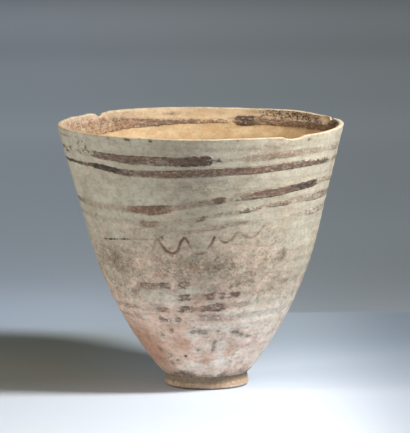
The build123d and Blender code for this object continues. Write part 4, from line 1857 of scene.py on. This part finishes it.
@dataclass
class PaintFilm(Film):
    """Paint that is left of a band."""

    stretch: Span | None = None  # bearings between which the paint survives
    cell: float = 0.5
    margin: float = 1.2  # beyond the widest dab

    def grid(self) -> tuple[Array, Array]:
        """Cover the band with points, wide enough for its ragged edges.

        Returns:
            Bearings and levels, as (rows, columns).
        """
        start, end = self.stretch or (-180.0, 180.0)
        middle_level = np.mean([level for _, level in self.stroke.levels])
        radius = float(self.skin.shape.plain_outer(np.array(middle_level)))
        columns = int(math.radians(end - start) * radius / self.cell)
        bearing = np.linspace(start, end, columns, endpoint=self.stretch is not None)[None, :]
        half = max(dab.width for dab in self.stroke.dabs) / 2.0 + self.margin
        across = np.linspace(-half, half, int(2.0 * half / self.cell) + 1)[:, None]
        level = self.stroke.middle(bearing) + across
        return np.broadcast_to(bearing, level.shape), level

    def build(self, finish: bpy.types.Material) -> bpy.types.Object:
        """Make and dress the band.

        Args:
            finish: Finish of the paint.

        Returns:
            The piece.
        """
        bearing, level = self.grid()
        if self.inside:
            bearing, level = bearing[::-1], level[::-1]
        return self.lay(bearing, level, self.stretch is None, finish)


@dataclass
class WaveFilm(Film):
    """Paint that is left of the wavy line."""

    least: float = 0.4
    rows: int = 9
    spare: float = 1.2  # width of the film before it flaked, as a share of the line

    def build(self, finish: bpy.types.Material) -> bpy.types.Object:
        """Make and dress the line.

        Args:
            finish: Finish of the paint.

        Returns:
            The piece.
        """
        path = self.stroke.path()
        run = np.radians(path[:, 0]) * self.stroke.radius
        heading = np.stack((np.gradient(run), np.gradient(path[:, 1])), axis=-1)
        heading /= np.linalg.norm(heading, axis=1, keepdims=True)
        across = np.linspace(-0.5, 0.5, self.rows)[:, None] * self.stroke.width * self.spare
        bearing = np.degrees((run - across * heading[:, 1]) / self.stroke.radius)
        level = path[:, 1] + across * heading[:, 0]
        return self.lay(bearing, level, False, finish)


@dataclass(frozen=True)
class FloorPaper:
    """Pale paper whose colour carries painted light: grey away from the light, darker to the right, warmed
    in the cup's shadow, brighter and cooler on the left.
    """

    name: str = "floor_paper"
    # Colours of the paper by distance behind the cup, which paint the falloff of the light
    stops: tuple[tuple[float, Colour], ...] = (
        (-0.3, srgb(242, 248, 255)),
        (-0.06, srgb(222, 231, 244)),
        (0.04, srgb(204, 216, 231)),
        (0.2, srgb(182, 196, 211)),
        (0.34, srgb(190, 203, 218)),
        (0.65, srgb(191, 204, 215)),
        (1.3, srgb(162, 172, 181)),
        (1.65, srgb(152, 162, 170)),
        (2.0, srgb(160, 169, 178)),
        (2.6, srgb(222, 234, 247)),
    )
    shade_step: float = 0.302  # line behind the cup where the painted shade steps, standing for the paper's turn upwards
    near_side: float = 0.5  # painted shade: share of the light the paper loses to the right, in front of the step
    dark_side: float = 0.42  # the same just behind the step
    far_side: float = 0.17  # and far behind it
    dark: Colour = (0.08, 0.06, 0.0)  # colour of painted shade that the paper fades to there
    dusk: Colour = (0.05, 0.075, 0.12)  # colour of painted shade that it fades to in front of the step
    painted_bounce_tint: Colour = (0.86, 0.79, 0.63)  # painted warm light on the paper in the cup's shadow, where only light off the clay reaches it
    painted_gleam_tint: Colour = (1.1, 1.11, 1.12)  # painted highlight on the paper in a strip on the left, around the step that stands for its turn upwards
    painted_cool_tint: Colour = (1.01, 1.03, 1.08)  # painted cooler light on the paper behind the step on the left
    camera_back: float = 3.6  # how far in front of the cup the lines of sight meet
    gloss: float = 0.15

    def material(self) -> bpy.types.Material:
        """Write the node tree.

        Returns:
            The material.
        """
        graph = NodeGraph(self.name)
        split = graph.tree.nodes.new("ShaderNodeSeparateXYZ")
        graph.feed(split.inputs[0], graph.place)
        right, back = split.outputs[0], split.outputs[1]
        low, high = self.stops[0][0], self.stops[-1][0]
        ramp = graph.tree.nodes.new("ShaderNodeValToRGB")
        graph.feed(ramp.inputs[0], graph.ratio(graph.minus(back, low), high - low))
        ramp.color_ramp.interpolation = "EASE"
        for number, (place, colour) in enumerate(self.stops):
            elements = ramp.color_ramp.elements
            element = elements[number] if number < len(elements) else elements.new(1.0)
            element.position = (place - low) / (high - low)
            element.color = (*colour, 1.0)
        # Painted shade: darker to the right, stepping at the line behind the cup
        away = graph.ratio(right, graph.plus(back, self.camera_back))
        turned = graph.rise(back, self.shade_step - 0.006, self.shade_step + 0.006)
        loss = graph.rise(back, 0.35, 0.8, self.dark_side, self.far_side)
        behind = graph.times(graph.times(graph.rise(away, -0.02, 0.045), loss), turned)
        beside = graph.times(graph.rise(away, 0.014, 0.04, 0.0, self.near_side), graph.minus(1.0, turned))
        paper = graph.blend(behind, ramp.outputs[0], self.dark)
        paper = graph.blend(beside, paper, self.dusk)
        # Painted light on the left: warmth in the cup's shadow, a brighter strip and cooler paper behind the
        # step
        left = graph.rise(right, 0.0, -0.1)
        lee = graph.times(graph.rise(back, -0.07, 0.03), graph.rise(back, 0.25, 0.17))
        bright = graph.times(graph.rise(back, 0.2, 0.26), graph.rise(back, 0.5, 0.34))
        far_left = graph.rise(away, 0.01, -0.04)
        cold = graph.rise(back, 0.22, 0.32)
        tints = ((left, lee, self.painted_bounce_tint), (left, bright, self.painted_gleam_tint), (far_left, cold, self.painted_cool_tint))
        for side, depth, tint in tints:
            paper = graph.shade(paper, graph.blend(graph.times(side, depth), WHITE, tint))
        fibre = graph.bump(graph.noise(2.0, detail=3.0), 0.05)
        dull = graph.rise(graph.noise(8.0), 0.3, 0.7, 0.8, 0.95)
        return graph.finish(paper, dull, fibre, self.gloss)


@dataclass(frozen=True)
class Lamp:
    """Round soft light that the camera doesn't see."""

    name: str
    place: Point
    aim: Point
    size: float  # diameter in metres
    power: float  # watts
    tint: Colour = WHITE
    spread: float = math.pi  # full angle of the beam

    def hang(self) -> None:
        """Hang the light in the scene and turn it to its aim."""
        lamp = bpy.data.lights.new(self.name, "AREA")
        lamp.shape = "DISK"
        lamp.size = self.size
        lamp.energy = self.power
        lamp.color = self.tint
        lamp.spread = self.spread
        light = bpy.data.objects.new(self.name, lamp)
        light.location = self.place
        light.rotation_mode = "QUATERNION"
        light.rotation_quaternion = (Vector(self.aim) - Vector(self.place)).to_track_quat("-Z", "Y")
        light.visible_camera = False
        bpy.context.scene.collection.objects.link(light)


@dataclass
class Studio:
    """Floor, lights and camera."""

    floor_rings: tuple[float, ...] = (0.2, 0.6, 1.5, 4.0, 9.0)
    floor_columns: int = 96
    lamps: tuple[Lamp, ...] = (
        Lamp("key", (0.36, -0.236, 0.556), (0.0, 0.0, 0.08), size=0.12, power=5.9, tint=(1.0, 0.99, 0.97)),
        Lamp("fill", (-1.05, -0.25, 0.38), (0.0, 0.0, 0.08), size=0.26, power=4.0, tint=(1.0, 0.97, 0.92)),
        Lamp("back", (0.0, 1.6, 1.3), (0.0, 1.65, 0.0), size=1.2, power=3.1, spread=math.radians(92.0)),
    )
    sky: Colour = (0.066, 0.064, 0.055)
    camera_place: Point = (-0.10457, -3.6, 0.582)
    camera_aim: Point = (-0.00075, 0.0, 0.10663)
    camera_roll: float = math.radians(-0.163)
    lens: float = 479.1
    sensor: float = 36.0
    sight: float = 60.0  # how far the camera sees, in metres

    def build_floor(self, material: bpy.types.Material) -> None:
        """Lay the floor as a wide disc.

        Args:
            material: Finish of the floor.
        """
        turn = np.linspace(0.0, 2.0 * math.pi, self.floor_columns, endpoint=False)
        rings = np.array(self.floor_rings)[:, None]
        x, y = rings * np.cos(turn), rings * np.sin(turn)
        points = np.stack((x, y, np.zeros(x.shape)), axis=-1)
        floor = Surface(points[::-1] / MM, {}, tips=(None, np.zeros(3))).mesh("floor")
        floor.data.materials.append(material)

    def build_lights(self) -> None:
        """Hang the lights and set the sky and the view of colours."""
        for lamp in self.lamps:
            lamp.hang()
        world = bpy.data.worlds.new("studio")
        world.use_nodes = True
        world.node_tree.nodes["Background"].inputs["Color"].default_value = (*self.sky, 1.0)
        bpy.context.scene.world = world
        bpy.context.scene.view_settings.view_transform = "Standard"

    def build_camera(self) -> None:
        """Stand the camera where the photograph was taken."""
        lens = bpy.data.cameras.new("camera")
        lens.sensor_width = self.sensor
        lens.lens = self.lens
        lens.clip_end = self.sight
        camera = bpy.data.objects.new("camera", lens)
        camera.location = self.camera_place
        aim = Vector(self.camera_aim) - Vector(self.camera_place)
        camera.rotation_mode = "QUATERNION"
        roll = Quaternion((0.0, 0.0, 1.0), self.camera_roll)
        camera.rotation_quaternion = aim.to_track_quat("-Z", "Y") @ roll
        bpy.context.scene.collection.objects.link(camera)
        bpy.context.scene.camera = camera


def main() -> None:
    """Build the studio and every piece of the cup, in order."""
    logging.basicConfig(level=logging.INFO, format="%(name)s: %(message)s")
    studio = Studio()
    studio.build_camera()
    studio.build_lights()
    studio.build_floor(FloorPaper().material())

    shape = BodyShape()
    skin = Skin(shape)
    wall_finish = PaintedSlip("painted_slip", gloss=0.22).material()
    paint_finish = PaintedSlip("brushed_paint", gloss=0.3).material()
    FootDisc(shape).build(FootClay().material())
    LowerBowl(shape, skin).build(wall_finish)
    UpperWall(shape, skin).build(wall_finish)

    films = (
        PaintFilm("mouth_paint", "mouth_band", MOUTH, skin, inside=True),
        PaintFilm("collar_paint_upper", "collar_band_upper", COLLAR_UPPER, skin),
        PaintFilm("collar_paint_lower", "collar_band_lower", COLLAR_LOWER, skin),
        PaintFilm("middle_paint_upper", "middle_band_upper", MIDDLE_UPPER, skin),
        PaintFilm("middle_paint_centre", "middle_band_centre", MIDDLE_CENTRE, skin),
        PaintFilm("middle_paint_lower", "middle_band_lower", MIDDLE_LOWER, skin, stretch=(-102.0, 5.0)),
        WaveFilm("wave_paint", "wavy_line", WAVE, skin),
        PaintFilm("lower_paint_1", "lower_band_1", LOWER_BANDS[0], skin, stretch=(-136.0, -60.0)),
        PaintFilm("lower_paint_2", "lower_band_2", LOWER_BANDS[1], skin, stretch=(-138.0, -56.0)),
        PaintFilm("lower_paint_3", "lower_band_3", LOWER_BANDS[2], skin, stretch=(-160.0, -60.0)),
        PaintFilm("lower_paint_4", "lower_band_4", LOWER_BANDS[3], skin, stretch=(-160.0, -60.0)),
    )
    for film in films:
        film.build(paint_finish)


if __name__ == "__main__":
    main()
